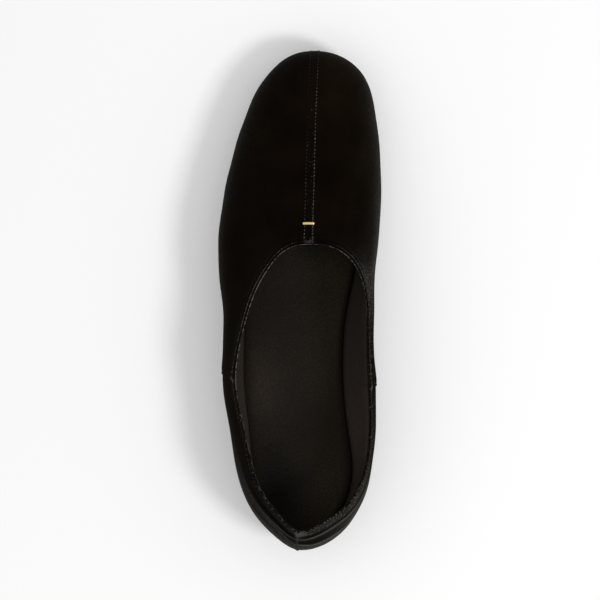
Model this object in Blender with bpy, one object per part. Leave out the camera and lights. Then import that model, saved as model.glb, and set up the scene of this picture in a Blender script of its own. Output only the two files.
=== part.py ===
"""A low velvet slipper flat for the left foot, modelled as a shoemaker puts it together.

The pieces are an outsole with arch and toe spring, a low heel block, one hollow upper open at the collar and
underneath, an insole inside it, and a small metal bar across the seam in front of the throat.
The toe points along +Y, the inner side of the foot is +X, and the floor is z = 0.
"""

import math

import bmesh
import bpy
import numpy as np
from mathutils import Matrix, Vector

MM = 0.001

# Driving sizes of the shoe
LENGTH = 250.0 * MM
BALL_WIDTH = 81.8 * MM
INSTEP_HEIGHT = 55.0 * MM
HEEL_HEIGHT = 8.0 * MM
TOE_SPRING = 5.5 * MM

# Thicknesses and clearances
UPPER_WALL = 1.9 * MM
OUTSOLE_THICKNESS = 3.5 * MM
INSOLE_THICKNESS = 3.0 * MM
SEAT_GAP = 0.3 * MM
INSOLE_EDGE_GAP = 0.7 * MM

# Places along the shoe, measured from its middle towards the toe
HEEL_BREAST_Y = -62.0 * MM
SEAT_END_Y = -58.0 * MM
BALL_START_Y = 8.0 * MM
BALL_END_Y = 62.0 * MM

# Shape of a profile between the feather edge, the widest line and the topline
TUCK_ROUNDNESS = 0.88
TUCK_LIFT = 0.32
TOP_REACH = 0.44

# Raised edges and seams of the upper
HEM_WIDTH = 2.6 * MM
HEM_STEP = 0.35 * MM
ROLLED_EDGE = 0.5 * MM
SEAM_BAND_HALF = 2.0 * MM
SEAM_BAND_STEP = 0.4 * MM
SEAM_RAMP = 0.7 * MM
OVERLAP_STEP = 0.7 * MM
OVERLAP_RAMP = 0.6 * MM
OVERLAP_FADE = 14.0 * MM
LASTED_FADE = 8.0 * MM
BACK_SEAM_HALF = 1.2 * MM
BACK_SEAM_STEP = 0.5 * MM

# Soft folds that run round the slack heel, in millimetres: how far below the topline each lies, its half
# width, how far it stands out (inward where negative) and how far it reaches from the back seam
FOLD_COLUMNS = ("below", "half", "out", "reach")
HEEL_FOLDS = (
    (4.8, 2.2, -0.7, 72.0),
    (8.4, 2.4, 0.9, 78.0),
    (12.6, 2.6, -0.5, 40.0),
    (17.0, 3.2, 0.5, 34.0),
)

# Outsole and heel
SOLE_MARGIN = 1.2 * MM
EDGE_BEVEL = 0.6 * MM
INSOLE_BEVEL = 1.2 * MM
HEEL_TAPER = 1.6 * MM
HEEL_BREAST_SAG = 4.0 * MM

# The metal bar in front of the throat
BAR_LENGTH = 6.2 * MM
BAR_DIAMETER = 1.6 * MM
BAR_FROM_THROAT = 9.9 * MM

# Mesh density; the rows near the topline are depths below it in millimetres, where hem and folds turn
UPPER_COLUMNS = 100
CLEAR_OF_SEAM = 0.4
PROFILE_SAMPLES = 80
NEAR_TOPLINE_ROWS = (0.0, 1.3, 2.6, 3.3, 4.8, 6.6, 8.4, 10.5, 12.6, 14.8, 17.0, 20.0)
LOWER_ROWS = 13
LOWER_CROWDING = 1.6
INNER_ROW_STRIDE = 2
SOLE_COLUMNS = 72
FINE_OUTLINE_COLUMNS = 1000
SOLE_ACROSS = 4
HEEL_REAR_POINTS = 25
HEEL_BREAST_POINTS = 7
BAR_SEGMENTS = 12
BAR_RINGS = 8
SHARP_ANGLE = math.radians(40.0)

# Profiles round the last in millimetres, from the heel back along the inner side to the toe and home along the
# outer side. Each row gives the widest point, how far the feather edge lies inside it, the topline point, the
# slope at which the profile reaches the topline, and how full the shoulder above the widest point is.
SECTION_COLUMNS = ("wide_x", "wide_y", "wide_z", "tuck", "top_x", "top_y", "top_z", "slope", "full")
SECTIONS = (
    (-1.0, -124.6, 24.0, 5.0, -0.4, -113.9, 57.0, 66.0, 0.62),  # heel back
    (17.0, -119.4, 24.0, 5.2, 12.5, -109.9, 56.0, 66.0, 0.62),  # heel corner, inner
    (30.0, -104.0, 25.0, 5.6, 26.6, -98.8, 53.0, 70.0, 0.62),  # heel side, inner
    (37.2, -77.0, 27.0, 9.0, 35.0, -75.6, 48.0, 78.0, 0.62),  # quarter, inner
    (38.1, -43.0, 29.0, 12.6, 35.4, -43.5, 45.0, 82.0, 0.62),  # side seam, inner
    (37.3, -13.0, 29.0, 11.4, 34.6, -13.0, 46.0, 80.0, 0.62),  # waist, inner
    (38.2, 17.0, 25.0, 8.2, 32.8, 8.5, 49.0, 64.0, 0.66),  # instep, inner
    (40.9, 52.0, 19.5, 5.5, 25.2, 21.9, 52.6, 40.0, 0.60),  # ball, inner
    (38.8, 88.0, 17.0, 4.8, 16.8, 26.8, 54.4, 26.0, 0.50),  # toe side, inner
    (30.0, 115.3, 16.5, 4.8, 12.2, 27.9, 54.9, 22.0, 0.46),  # toe corner, inner
    (12.0, 124.7, 16.5, 4.8, 9.2, 28.0, 55.0, 21.0, 0.44),  # beside the seam, inner
    (7.0, 125.0, 16.5, 4.8, 5.0, 28.1, 55.0, 21.0, 0.44),  # toe tip
    (2.2, 124.7, 16.5, 4.8, 0.9, 27.8, 55.0, 21.0, 0.44),  # beside the seam, outer
    (-14.0, 115.8, 16.5, 4.8, -2.6, 27.0, 54.8, 22.0, 0.46),  # toe corner, outer
    (-28.8, 88.0, 17.0, 4.8, -7.6, 24.5, 54.2, 26.0, 0.50),  # toe side, outer
    (-38.0, 53.0, 19.5, 5.5, -14.5, 17.3, 52.3, 38.0, 0.60),  # ball, outer
    (-40.8, 20.0, 22.0, 7.0, -22.6, 3.0, 49.0, 46.0, 0.70),  # instep, outer
    (-38.1, -10.0, 24.0, 7.5, -28.5, -16.0, 46.0, 56.0, 0.68),  # waist, outer
    (-38.6, -37.0, 25.0, 8.0, -32.0, -39.5, 45.0, 64.0, 0.66),  # side seam, outer
    (-34.6, -66.0, 25.0, 6.8, -27.3, -65.0, 47.0, 60.0, 0.64),  # quarter, outer
    (-27.0, -99.2, 24.0, 5.6, -18.6, -94.2, 53.0, 62.0, 0.62),  # heel side, outer
    (-12.2, -118.2, 24.0, 5.2, -8.0, -108.0, 56.0, 64.0, 0.62),  # heel corner, outer
)
ROW_HEEL_BACK, ROW_SEAM_INNER, ROW_TOE_TIP, ROW_SEAM_OUTER = 0, 4, 11, 18

# Side seams where the vamp laps over the quarter: the table's row, and which way along the girth the toe lies
SIDE_SEAMS = ((ROW_SEAM_INNER, 1.0), (ROW_SEAM_OUTER, -1.0))

# Colours as linear red, green and blue, then roughness and metallic value
FINISHES = {
    "velvet": ((0.006, 0.006, 0.006), 0.95, 0.0),
    "sock_leather": ((0.011, 0.010, 0.009), 0.55, 0.0),
    "sole_leather": ((0.014, 0.012, 0.010), 0.60, 0.0),
    "heel_leather": ((0.009, 0.008, 0.007), 0.50, 0.0),
    "gold": ((0.83, 0.60, 0.22), 0.22, 1.0),
}


def eased(share):
    """A share from 0 to 1 with a soft start and end."""
    share = np.clip(share, 0.0, 1.0)
    return share * share * (3.0 - 2.0 * share)


def ring_spline(knots, period, values, at):
    """A closed cubic through the rows of values, with continuous curvature, read at the given places."""
    count = len(knots)
    step = np.diff(np.append(knots, knots[0] + period))
    before = np.roll(step, 1)
    row = np.arange(count)
    system = np.zeros((count, count))
    system[row, row] = 2.0 * (before + step)
    system[row, row - 1] += before
    system[row, (row + 1) % count] += step
    slope = (np.roll(values, -1, axis=0) - values) / step[:, None]
    bend = np.linalg.solve(system, 6.0 * (slope - np.roll(slope, 1, axis=0)))
    at = np.mod(at, period)
    left_row = np.searchsorted(knots, at, side="right") - 1
    right_row = (left_row + 1) % count
    width = step[left_row][:, None]
    right = (at - knots[left_row])[:, None] / width
    left = 1.0 - right
    curve = (left**3 - left) * bend[left_row] + (right**3 - right) * bend[right_row]
    return left * values[left_row] + right * values[right_row] + width**2 / 6.0 * curve


def scaled_sections():
    """The section table in metres, stretched so that its plan and throat height meet the driving sizes."""
    table = np.array(SECTIONS)
    column = {name: i for i, name in enumerate(SECTION_COLUMNS)}
    plan_x = [column["wide_x"], column["top_x"]]
    plan_y = [column["wide_y"], column["top_y"]]
    heights = [column["wide_z"], column["top_z"]]
    table[:, plan_x] *= BALL_WIDTH / np.ptp(table[:, column["wide_x"]])
    table[:, plan_y] *= LENGTH / np.ptp(table[:, column["wide_y"]])
    table[:, heights] *= INSTEP_HEIGHT / table[ROW_TOE_TIP, column["top_z"]]
    table[:, column["tuck"]] *= MM
    return table


def chord_places(points):
    """Distances of a closed row of points along its chords, and the whole length round."""
    chords = np.linalg.norm(np.roll(points, -1, axis=0) - points, axis=1)
    return np.cumsum(chords) - chords, chords.sum()


SECTION_TABLE = scaled_sections()
ROW_PLACES, GIRTH = chord_places(SECTION_TABLE[:, 0:2])
TOP_PLACES, TOP_GIRTH = chord_places(SECTION_TABLE[:, 4:6])


def topline_place(places):
    """The place along the topline that belongs to a place along the widest line.

    A rising cubic map through the rows of the table, whose slope at a row is the harmonic mean of the slopes of
    the two neighbouring pieces, so that the topline never doubles back.
    """
    places = np.mod(places, GIRTH)
    step = np.diff(np.append(ROW_PLACES, GIRTH))
    rise = np.diff(np.append(TOP_PLACES, TOP_GIRTH)) / step
    slope = 2.0 * rise * np.roll(rise, 1) / (rise + np.roll(rise, 1))
    row = np.searchsorted(ROW_PLACES, places, side="right") - 1
    after = (row + 1) % len(slope)
    share = (places - ROW_PLACES[row]) / step[row]
    bend_in = slope[row] * share * (1.0 - share) ** 2
    bend_out = slope[after] * share**2 * (share - 1.0)
    return TOP_PLACES[row] + step[row] * (rise[row] * eased(share) + bend_in + bend_out)


def section_at(places):
    """The section table's columns at places along the widest line, with the plan direction into the shoe."""
    values = ring_spline(ROW_PLACES, GIRTH, SECTION_TABLE, places)
    section = {name: values[:, i] for i, name in enumerate(SECTION_COLUMNS)}
    section["wide"] = values[:, 0:2]
    topline = ring_spline(TOP_PLACES, TOP_GIRTH, SECTION_TABLE[:, 4:7], topline_place(places))
    section["top"] = topline[:, 0:2]
    section["top_z"] = topline[:, 2]
    nudge = 0.5 * MM
    ahead = ring_spline(ROW_PLACES, GIRTH, SECTION_TABLE[:, :2], places + nudge)
    behind = ring_spline(ROW_PLACES, GIRTH, SECTION_TABLE[:, :2], places - nudge)
    along = (ahead - behind) / np.linalg.norm(ahead - behind, axis=1)[:, None]
    section["inward"] = np.column_stack([-along[:, 1], along[:, 0]])
    section["feather"] = section["wide"] + section["inward"] * section["tuck"][:, None]
    return section


def tread_height(y):
    """Height of the sole's underside: heel seat, arch, flat ball and toe spring."""
    arch = HEEL_HEIGHT * (1.0 - eased((y - SEAT_END_Y) / (BALL_START_Y - SEAT_END_Y)))
    toe = np.clip((y - BALL_END_Y) / (0.5 * LENGTH - BALL_END_Y), 0.0, None)
    return arch + TOE_SPRING * toe**2


def sole_top(y):
    """Height of the outsole's upper side."""
    return tread_height(y) + OUTSOLE_THICKNESS


def insole_underside(y):
    """Height at which the insole lies on the outsole."""
    return sole_top(y) + SEAT_GAP


def insole_top(y):
    """Height of the insole's upper side, where the foot stands."""
    return insole_underside(y) + INSOLE_THICKNESS


def smooth_profiles(places):
    """Points from the topline down to the feather edge, one profile for each place, with no seams or folds.

    Above the widest line the profile is a cubic that leaves upright and arrives at the topline's slope.
    Below it a quadratic rolls in to the feather edge.
    """
    section = section_at(places)
    wide, feather, top = section["wide"], section["feather"], section["top"]
    wide_z, top_z = section["wide_z"], section["top_z"]
    feather_z = insole_underside(feather[:, 1])
    run = np.linalg.norm(top - wide, axis=1)
    toward = (top - wide) / run[:, None]
    rise = top_z - wide_z
    slope = np.radians(section["slope"])
    reach = TOP_REACH * np.hypot(run, rise)
    points = []
    for t in np.linspace(1.0, 0.0, PROFILE_SAMPLES):
        weights = ((1 - t) ** 3, 3 * (1 - t) ** 2 * t, 3 * (1 - t) * t**2, t**3)
        out = weights[2] * (run - reach * np.cos(slope)) + weights[3] * run
        shoulder_z = wide_z + section["full"] * rise
        arrival_z = top_z - reach * np.sin(slope)
        height = weights[0] * wide_z + weights[1] * shoulder_z + weights[2] * arrival_z + weights[3] * top_z
        points.append(np.column_stack([wide + toward * out[:, None], height]))
    bulge = feather + TUCK_ROUNDNESS * (wide - feather)
    bulge_z = feather_z + TUCK_LIFT * (wide_z - feather_z)
    for t in np.linspace(1.0, 0.0, PROFILE_SAMPLES)[1:]:
        weights = ((1 - t) ** 2, 2 * t * (1 - t), t**2)
        plan = weights[0] * feather + weights[1] * bulge + weights[2] * wide
        height = weights[0] * feather_z + weights[1] * bulge_z + weights[2] * wide_z
        points.append(np.column_stack([plan, height]))
    return np.array(points)


def spaced_profiles(places):
    """The smooth profiles at fixed depths below the topline, then closer and closer down to the feather edge.

    Returns the points as rows by places by xyz, and each point's depth below the topline.
    """
    fine = smooth_profiles(places)
    steps = np.linalg.norm(np.diff(fine, axis=0), axis=2)
    depth = np.vstack([np.zeros(len(places)), np.cumsum(steps, axis=0)])
    near = np.array(NEAR_TOPLINE_ROWS) * MM
    shares = 1.0 - (1.0 - np.arange(1, LOWER_ROWS + 1) / LOWER_ROWS) ** LOWER_CROWDING
    points, depths = [], []
    for i in range(len(places)):
        wanted = np.concatenate([near, near[-1] + shares * (depth[-1, i] - near[-1])])
        points.append(np.column_stack([np.interp(wanted, depth[:, i], fine[:, i, k]) for k in range(3)]))
        depths.append(wanted)
    return np.array(points).transpose(1, 0, 2), np.array(depths).T


def outward_normals(grid):
    """Unit normals of a grid that is closed along its places, pointing out of the shoe."""
    along = np.roll(grid, -1, axis=1) - np.roll(grid, 1, axis=1)
    down = np.gradient(grid, axis=0)
    normal = np.cross(down, along)
    return normal / np.linalg.norm(normal, axis=2)[:, :, None]


def ring_distance(places, row):
    """Signed distance along the widest line from a row of the table."""
    return np.mod(places - ROW_PLACES[row] + GIRTH / 2, GIRTH) - GIRTH / 2


def band(distance, half, ramp):
    """1 inside a band of that half width, falling to 0 over the ramp."""
    return 1.0 - eased((np.abs(distance) - half) / ramp)


def relief(depth, places):
    """How far seams, hem, panel overlap and soft folds stand out, flattened where the upper is lasted under."""
    toe = ring_distance(places, ROW_TOE_TIP)
    back = ring_distance(places, ROW_HEEL_BACK)
    out = HEM_STEP * band(depth, HEM_WIDTH, SEAM_RAMP)
    out = out + SEAM_BAND_STEP * band(toe, SEAM_BAND_HALF, SEAM_RAMP)
    out = out + BACK_SEAM_STEP * band(back, BACK_SEAM_HALF, SEAM_RAMP)
    for row, forward in SIDE_SEAMS:
        ahead = forward * ring_distance(places, row)
        out = out + OVERLAP_STEP * (ahead > 0.0) * (1.0 - eased(ahead / OVERLAP_FADE))
    for row in HEEL_FOLDS:
        fold = dict(zip(FOLD_COLUMNS, np.array(row) * MM))
        round_heel = band(back, 0.0, fold["reach"])
        out = out + fold["out"] * round_heel * band(depth - fold["below"], 0.0, fold["half"])
    return out * eased((depth[-1] - depth) / LASTED_FADE)


def upper_places():
    """Even columns round the upper, with close columns where a seam needs a crisp step."""
    seams = []
    for row, half in ((ROW_TOE_TIP, SEAM_BAND_HALF), (ROW_HEEL_BACK, BACK_SEAM_HALF)):
        edges = np.array([-half - SEAM_RAMP, -half, 0.0, half, half + SEAM_RAMP])
        seams.extend(ROW_PLACES[row] + edges)
    for row, forward in SIDE_SEAMS:
        seams.extend([ROW_PLACES[row], ROW_PLACES[row] + forward * OVERLAP_RAMP])
    seams = np.mod(seams, GIRTH)
    pitch = GIRTH / UPPER_COLUMNS
    even = np.arange(UPPER_COLUMNS) * pitch
    apart = np.abs(np.mod(even[:, None] - seams[None, :] + GIRTH / 2, GIRTH) - GIRTH / 2).min(axis=1)
    return np.sort(np.concatenate([even[apart > CLEAR_OF_SEAM * pitch], seams]))


def upper_grids(places):
    """Outer and inner faces of the upper's wall, from the topline down to the feather edge."""
    smooth, depth = spaced_profiles(places)
    normal = outward_normals(smooth)
    outer = smooth + normal * relief(depth, places)[:, :, None]
    inner = smooth - normal * UPPER_WALL
    section = section_at(places)
    foot = section["feather"] + section["inward"] * UPPER_WALL
    inner[-1] = np.column_stack([foot, insole_underside(foot[:, 1])])
    return outer, inner[::INNER_ROW_STRIDE]


def add_piece(name, bm, finish):
    """Link a finished mesh as a named object with its own material, shaded smooth up to hard edges."""
    bmesh.ops.recalc_face_normals(bm, faces=bm.faces)
    mesh = bpy.data.meshes.new(name)
    bm.to_mesh(mesh)
    bm.free()
    mesh.shade_smooth()
    mesh.set_sharp_from_angle(angle=SHARP_ANGLE)
    colour, roughness, metallic = FINISHES[finish]
    material = bpy.data.materials.new(f"{name}_{finish}")
    material.use_nodes = True
    shader = material.node_tree.nodes["Principled BSDF"]
    shader.inputs["Base Color"].default_value = (*colour, 1.0)
    shader.inputs["Roughness"].default_value = roughness
    shader.inputs["Metallic"].default_value = metallic
    mesh.materials.append(material)
    piece = bpy.data.objects.new(name, mesh)
    bpy.context.scene.collection.objects.link(piece)
    return piece


def ring_of_vertices(bm, points):
    """New vertices at a row of points."""
    return [bm.verts.new(point) for point in points]


def bridge_rings(bm, first, second):
    """Quads between two closed rings of the same length."""
    count = len(first)
    for i in range(count):
        j = (i + 1) % count
        bm.faces.new((first[i], first[j], second[j], second[i]))


def make_upper():
    """The velvet upper: one wall, open at the collar and underneath, with a rolled topline."""
    outer, inner = upper_grids(upper_places())
    crest = 0.5 * (outer[0] + inner[0])
    upward = outer[0] - outer[1]
    crest += ROLLED_EDGE * upward / np.linalg.norm(upward, axis=1)[:, None]
    bm = bmesh.new()
    rows = [*outer[::-1], crest, *inner]
    rings = [ring_of_vertices(bm, row) for row in rows]
    for first, second in zip(rings, rings[1:] + rings[:1]):
        bridge_rings(bm, first, second)
    return add_piece("upper", bm, "velvet")


def sole_outline(margin, count=SOLE_COLUMNS):
    """The feather edge moved out by a margin, from the heel back round the inner side; count is even."""
    half = count // 2
    toe = ROW_PLACES[ROW_TOE_TIP]
    inner_side = np.linspace(0.0, toe, half, endpoint=False)
    outer_side = np.linspace(toe, GIRTH, half, endpoint=False)
    section = section_at(np.concatenate([inner_side, outer_side]))
    return section["feather"] - section["inward"] * margin


def paired_strips(bm, ring, height, across, flip):
    """Close a ring with strips between its inner and outer sides; the height is a function of y."""
    count = len(ring)
    strips = []
    for i in range(count // 2 + 1):
        right, left = ring[i], ring[-i % count]
        if right is left:
            strips.append([right])
            continue
        between = []
        for k in range(1, across):
            x, y = right.co.xy.lerp(left.co.xy, k / across)
            between.append(bm.verts.new((x, y, height(y))))
        strips.append([right, *between, left])
    for low, high in zip(strips, strips[1:]):
        for k in range(across):
            corners = [low[min(k, len(low) - 1)], low[min(k + 1, len(low) - 1)]]
            corners += [high[min(k + 1, len(high) - 1)], high[min(k, len(high) - 1)]]
            corners = list(dict.fromkeys(corners))
            bm.faces.new(corners[::-1] if flip else corners)


def inward_of(outline):
    """Plan directions into a closed counterclockwise outline."""
    along = np.roll(outline, -1, axis=0) - np.roll(outline, 1, axis=0)
    along /= np.linalg.norm(along, axis=1)[:, None]
    return np.column_stack([-along[:, 1], along[:, 0]])


def slab(bm, outline, bottom, top, bevel, across):
    """A sheet with a bevelled edge: the outline between two heights, each a function of y."""
    inner = outline + inward_of(outline) * bevel
    low = [(x, y, bottom(y)) for x, y in inner]
    low_edge = [(x, y, bottom(y) + bevel) for x, y in outline]
    high_edge = [(x, y, top(y) - bevel) for x, y in outline]
    high = [(x, y, top(y)) for x, y in inner]
    rings = [ring_of_vertices(bm, row) for row in (low, low_edge, high_edge, high)]
    for first, second in zip(rings, rings[1:]):
        bridge_rings(bm, first, second)
    paired_strips(bm, rings[0], bottom, across, True)
    paired_strips(bm, rings[-1], top, across, False)


def make_outsole():
    """The leather outsole, a little larger than the feather edge, with heel seat, arch and toe spring."""
    bm = bmesh.new()
    outline = sole_outline(SOLE_MARGIN)
    slab(bm, outline, tread_height, sole_top, EDGE_BEVEL, SOLE_ACROSS)
    return add_piece("outsole", bm, "sole_leather")


def make_insole():
    """The sock-covered insole that lies on the outsole inside the upper."""
    bm = bmesh.new()
    outline = sole_outline(-UPPER_WALL - INSOLE_EDGE_GAP)
    slab(bm, outline, insole_underside, insole_top, INSOLE_BEVEL, SOLE_ACROSS)
    return add_piece("insole", bm, "sock_leather")


def heel_outline(margin):
    """The rear of the sole outline up to the breast, closed by a shallow curve across."""
    fine = sole_outline(margin, FINE_OUTLINE_COLUMNS)
    fine = np.roll(fine, len(fine) // 2, axis=0)
    rear = fine[fine[:, 1] < HEEL_BREAST_Y]
    steps = np.linalg.norm(np.diff(rear, axis=0), axis=1)
    place = np.concatenate([[0.0], np.cumsum(steps)])
    wanted = np.linspace(0.0, place[-1], HEEL_REAR_POINTS)
    rear = np.column_stack([np.interp(wanted, place, rear[:, k]) for k in range(2)])
    share = np.linspace(0.0, 1.0, HEEL_BREAST_POINTS + 2)[1:-1, None]
    breast = rear[-1] * (1 - share) + rear[0] * share
    breast[:, 1] -= HEEL_BREAST_SAG * np.sin(np.pi * share[:, 0])
    return np.concatenate([rear, breast])


def make_heel():
    """The low heel block under the seat, tapering a little to the floor."""
    bm = bmesh.new()
    foot = ring_of_vertices(bm, [(x, y, 0.0) for x, y in heel_outline(SOLE_MARGIN - HEEL_TAPER)])
    head_z = HEEL_HEIGHT - SEAT_GAP
    head = ring_of_vertices(bm, [(x, y, head_z) for x, y in heel_outline(SOLE_MARGIN - EDGE_BEVEL)])
    bridge_rings(bm, foot, head)
    bm.faces.new(foot[::-1])
    bm.faces.new(head)
    return add_piece("heel", bm, "heel_leather")


def make_throat_bar():
    """The gold bar across the toe seam: a round rod with domed ends, made from a sphere pulled apart."""
    bm = bmesh.new()
    turn = Matrix.Rotation(math.radians(90.0), 4, "Y")
    radius = 0.5 * BAR_DIAMETER
    bmesh.ops.create_uvsphere(bm, u_segments=BAR_SEGMENTS, v_segments=BAR_RINGS, radius=radius, matrix=turn)
    for vertex in bm.verts:
        if abs(vertex.co.x) > 0.01 * radius:
            vertex.co.x += math.copysign(0.5 * BAR_LENGTH - radius, vertex.co.x)
    bar = add_piece("throat_bar", bm, "gold")
    ridge = smooth_profiles(np.array([ROW_PLACES[ROW_TOE_TIP]]))[:, 0]
    depth = np.concatenate([[0.0], np.cumsum(np.linalg.norm(np.diff(ridge, axis=0), axis=1))])
    seat = np.array([np.interp(BAR_FROM_THROAT, depth, ridge[:, k]) for k in range(3)])
    ahead = np.array([np.interp(BAR_FROM_THROAT + BAR_LENGTH, depth, ridge[:, k]) for k in range(3)]) - seat
    pitch = math.atan2(ahead[2], math.hypot(ahead[0], ahead[1]))
    yaw = math.atan2(-ahead[0], ahead[1])
    lift = Vector((0.0, 0.0, SEAM_BAND_STEP + SEAT_GAP + radius))
    bar.rotation_euler = (pitch, 0.0, yaw)
    bar.location = Vector(seat) + bar.rotation_euler.to_matrix() @ lift
    return bar


def main():
    for old in list(bpy.data.objects):
        bpy.data.objects.remove(old)
    shoe = bpy.data.objects.new("slipper_flat", None)
    bpy.context.scene.collection.objects.link(shoe)
    for make in (make_outsole, make_heel, make_upper, make_insole, make_throat_bar):
        make().parent = shoe


main()
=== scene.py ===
"""Looks of a black velvet slipper flat for the left foot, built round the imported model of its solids.

The file is laid out as an add-on and run as a script. One operator makes each piece or pair of like pieces,
and one makes the stage. Lengths are metres, the toe points along +Y, the inner side of the foot is +X and the
floor is z = 0.
The wall of the shoe is a function of two parameters: a place along the widest line of the last, from the heel
back along the inner side to the toe and home, and a depth down the wall from the topline.
"""

import math

import bmesh
import bpy
import numpy as np
from bpy.props import FloatProperty, FloatVectorProperty, IntProperty, PointerProperty
from mathutils import Matrix, Vector


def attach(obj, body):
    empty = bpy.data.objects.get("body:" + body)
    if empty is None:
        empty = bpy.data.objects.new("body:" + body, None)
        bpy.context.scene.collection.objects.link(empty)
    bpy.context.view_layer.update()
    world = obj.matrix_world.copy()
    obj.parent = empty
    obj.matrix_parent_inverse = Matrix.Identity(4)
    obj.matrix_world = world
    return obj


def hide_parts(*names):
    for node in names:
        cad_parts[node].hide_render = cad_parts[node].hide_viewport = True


bl_info = {
    "name": "Velvet slipper flat",
    "version": (1, 0, 0),
    "blender": (4, 5, 0),
    "location": "3D View > Sidebar > Slipper",
    "description": "Builds the velvet, lining, insole, sole, stitching and trim of a slipper flat",
    "category": "Object",
}

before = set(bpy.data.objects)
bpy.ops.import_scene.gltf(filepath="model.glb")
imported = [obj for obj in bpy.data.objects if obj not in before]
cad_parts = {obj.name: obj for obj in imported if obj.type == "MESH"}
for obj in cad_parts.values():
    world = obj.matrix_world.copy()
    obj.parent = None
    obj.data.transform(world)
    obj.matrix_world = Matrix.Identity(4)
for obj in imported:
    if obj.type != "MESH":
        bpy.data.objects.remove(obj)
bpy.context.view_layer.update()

MM = 0.001
BODY = "root"
MERGE_DISTANCE, SLIVER, TINY = 1e-6, 1e-7, 1e-12

# Profiles round the last in millimetres and degrees: the widest point, how far the feather edge lies inside
# it, the topline point, the slope at which the profile reaches the topline, and how full the shoulder is
SECTION_COLUMNS = ("wide_x", "wide_y", "wide_z", "tuck", "top_x", "top_y", "top_z", "slope", "full")
WIDE, WIDE_PLAN, TUCK, TOP, TOP_PLAN = slice(0, 3), slice(0, 2), 3, slice(4, 7), slice(4, 6)
SECTIONS = (
    (-1.0, -124.6, 24.0, 5.0, -0.4, -113.9, 57.0, 66.0, 0.62),  # heel back
    (17.0, -119.4, 24.0, 5.2, 12.5, -109.9, 56.0, 66.0, 0.62),  # heel corner, inner
    (30.0, -104.0, 25.0, 5.6, 26.6, -98.8, 53.0, 70.0, 0.62),  # heel side, inner
    (37.2, -77.0, 27.0, 9.0, 35.0, -75.6, 48.0, 78.0, 0.62),  # quarter, inner
    (38.1, -43.0, 29.0, 12.6, 35.4, -43.5, 45.0, 82.0, 0.62),  # side seam, inner
    (37.3, -13.0, 29.0, 11.4, 34.6, -13.0, 46.0, 80.0, 0.62),  # waist, inner
    (38.2, 17.0, 25.0, 8.2, 32.8, 8.5, 49.0, 64.0, 0.66),  # instep, inner
    (40.9, 52.0, 19.5, 5.5, 25.2, 21.9, 52.6, 40.0, 0.60),  # ball, inner
    (38.8, 88.0, 17.0, 4.8, 16.8, 26.8, 54.4, 26.0, 0.50),  # toe side, inner
    (30.0, 115.3, 16.5, 4.8, 12.2, 27.9, 54.9, 22.0, 0.46),  # toe corner, inner
    (12.0, 124.7, 16.5, 4.8, 9.2, 28.0, 55.0, 21.0, 0.44),  # beside the seam, inner
    (7.0, 125.0, 16.5, 4.8, 5.0, 28.1, 55.0, 21.0, 0.44),  # toe tip
    (2.2, 124.7, 16.5, 4.8, 0.9, 27.8, 55.0, 21.0, 0.44),  # beside the seam, outer
    (-14.0, 115.8, 16.5, 4.8, -2.6, 27.0, 54.8, 22.0, 0.46),  # toe corner, outer
    (-28.8, 88.0, 17.0, 4.8, -7.6, 24.5, 54.2, 26.0, 0.50),  # toe side, outer
    (-38.0, 53.0, 19.5, 5.5, -14.5, 17.3, 52.3, 38.0, 0.60),  # ball, outer
    (-40.8, 20.0, 22.0, 7.0, -22.6, 3.0, 49.0, 46.0, 0.70),  # instep, outer
    (-38.1, -10.0, 24.0, 7.5, -28.5, -16.0, 46.0, 56.0, 0.68),  # waist, outer
    (-38.6, -37.0, 25.0, 8.0, -32.0, -39.5, 45.0, 64.0, 0.66),  # side seam, outer
    (-34.6, -66.0, 25.0, 6.8, -27.3, -65.0, 47.0, 60.0, 0.64),  # quarter, outer
    (-27.0, -99.2, 24.0, 5.6, -18.6, -94.2, 53.0, 62.0, 0.62),  # heel side, outer
    (-12.2, -118.2, 24.0, 5.2, -8.0, -108.0, 56.0, 64.0, 0.62),  # heel corner, outer
)
ROW_HEEL_BACK, ROW_SEAM_INNER, ROW_WAIST_INNER, ROW_INSTEP_INNER = 0, 4, 5, 6
ROW_TOE_TIP, ROW_SEAM_OUTER = 11, 18

# Side seams where the vamp laps over the quarter: the table's row, and which way along the girth the toe lies
SIDE_SEAMS = ((ROW_SEAM_INNER, 1.0), (ROW_SEAM_OUTER, -1.0))

# Each of the next tables gives values at some rows of the section table, and straight lines join them.
# Painted sheen: how pale the pile is painted where it is seen from the side, none on the inner waist as
# painted shade, and how much of that the heel's hem loses
PAINTED_PILE_SHEEN = {
    0: 0.75, 2: 0.70, 3: 0.12, 4: 0.0, 5: 0.0, 6: 0.60, 7: 0.44,
    8: 0.42, 11: 0.5, 15: 0.42, 18: 0.15, 19: 0.23, 20: 0.52,
}
HEM_SHADE = {0: 0.3, 1: 0.45, 2: 0.45, 3: 0.0, 18: 0.0, 19: 0.6, 20: 0.78, 21: 0.72}
# Painted glints: how many specks of the inner wall's pile are painted pale as if they caught light from the
# side; and how pale the velvet's rim is painted, partly wear from rubbing and partly painted highlight
WALL_GLINT = {0: 0.0, 2: 0.1, 3: 0.35, 4: 0.25, 5: 0.4, 6: 0.65, 7: 0.0, 21: 0.0}
RIM_RUB_AND_HIGHLIGHT = {0: 0.8, 2: 0.8, 3: 0.3, 5: 0.25, 6: 0.2, 7: 0.0, 18: 0.0, 19: 0.4, 20: 0.7, 21: 0.6}
# Painted highlight on the turned edge at the topline, brightest where its lip faces the lamp; and painted
# light and shade on the lining's face
EDGE_HIGHLIGHT = {
    0: 0.0, 2: 0.0, 3: 0.03, 5: 0.05, 6: 0.4, 7: 1.0, 8: 1.0, 9: 0.4,
    10: 0.6, 11: 1.1, 17: 1.0, 18: 0.8, 19: 0.35, 20: 0.1,
}
LINING_PAINTED_SHADING = {0: 1.0, 2: 1.3, 3: 1.7, 4: 1.15, 5: 1.15, 6: 1.35, 8: 1.0, 15: 0.9, 20: 0.85}
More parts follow.
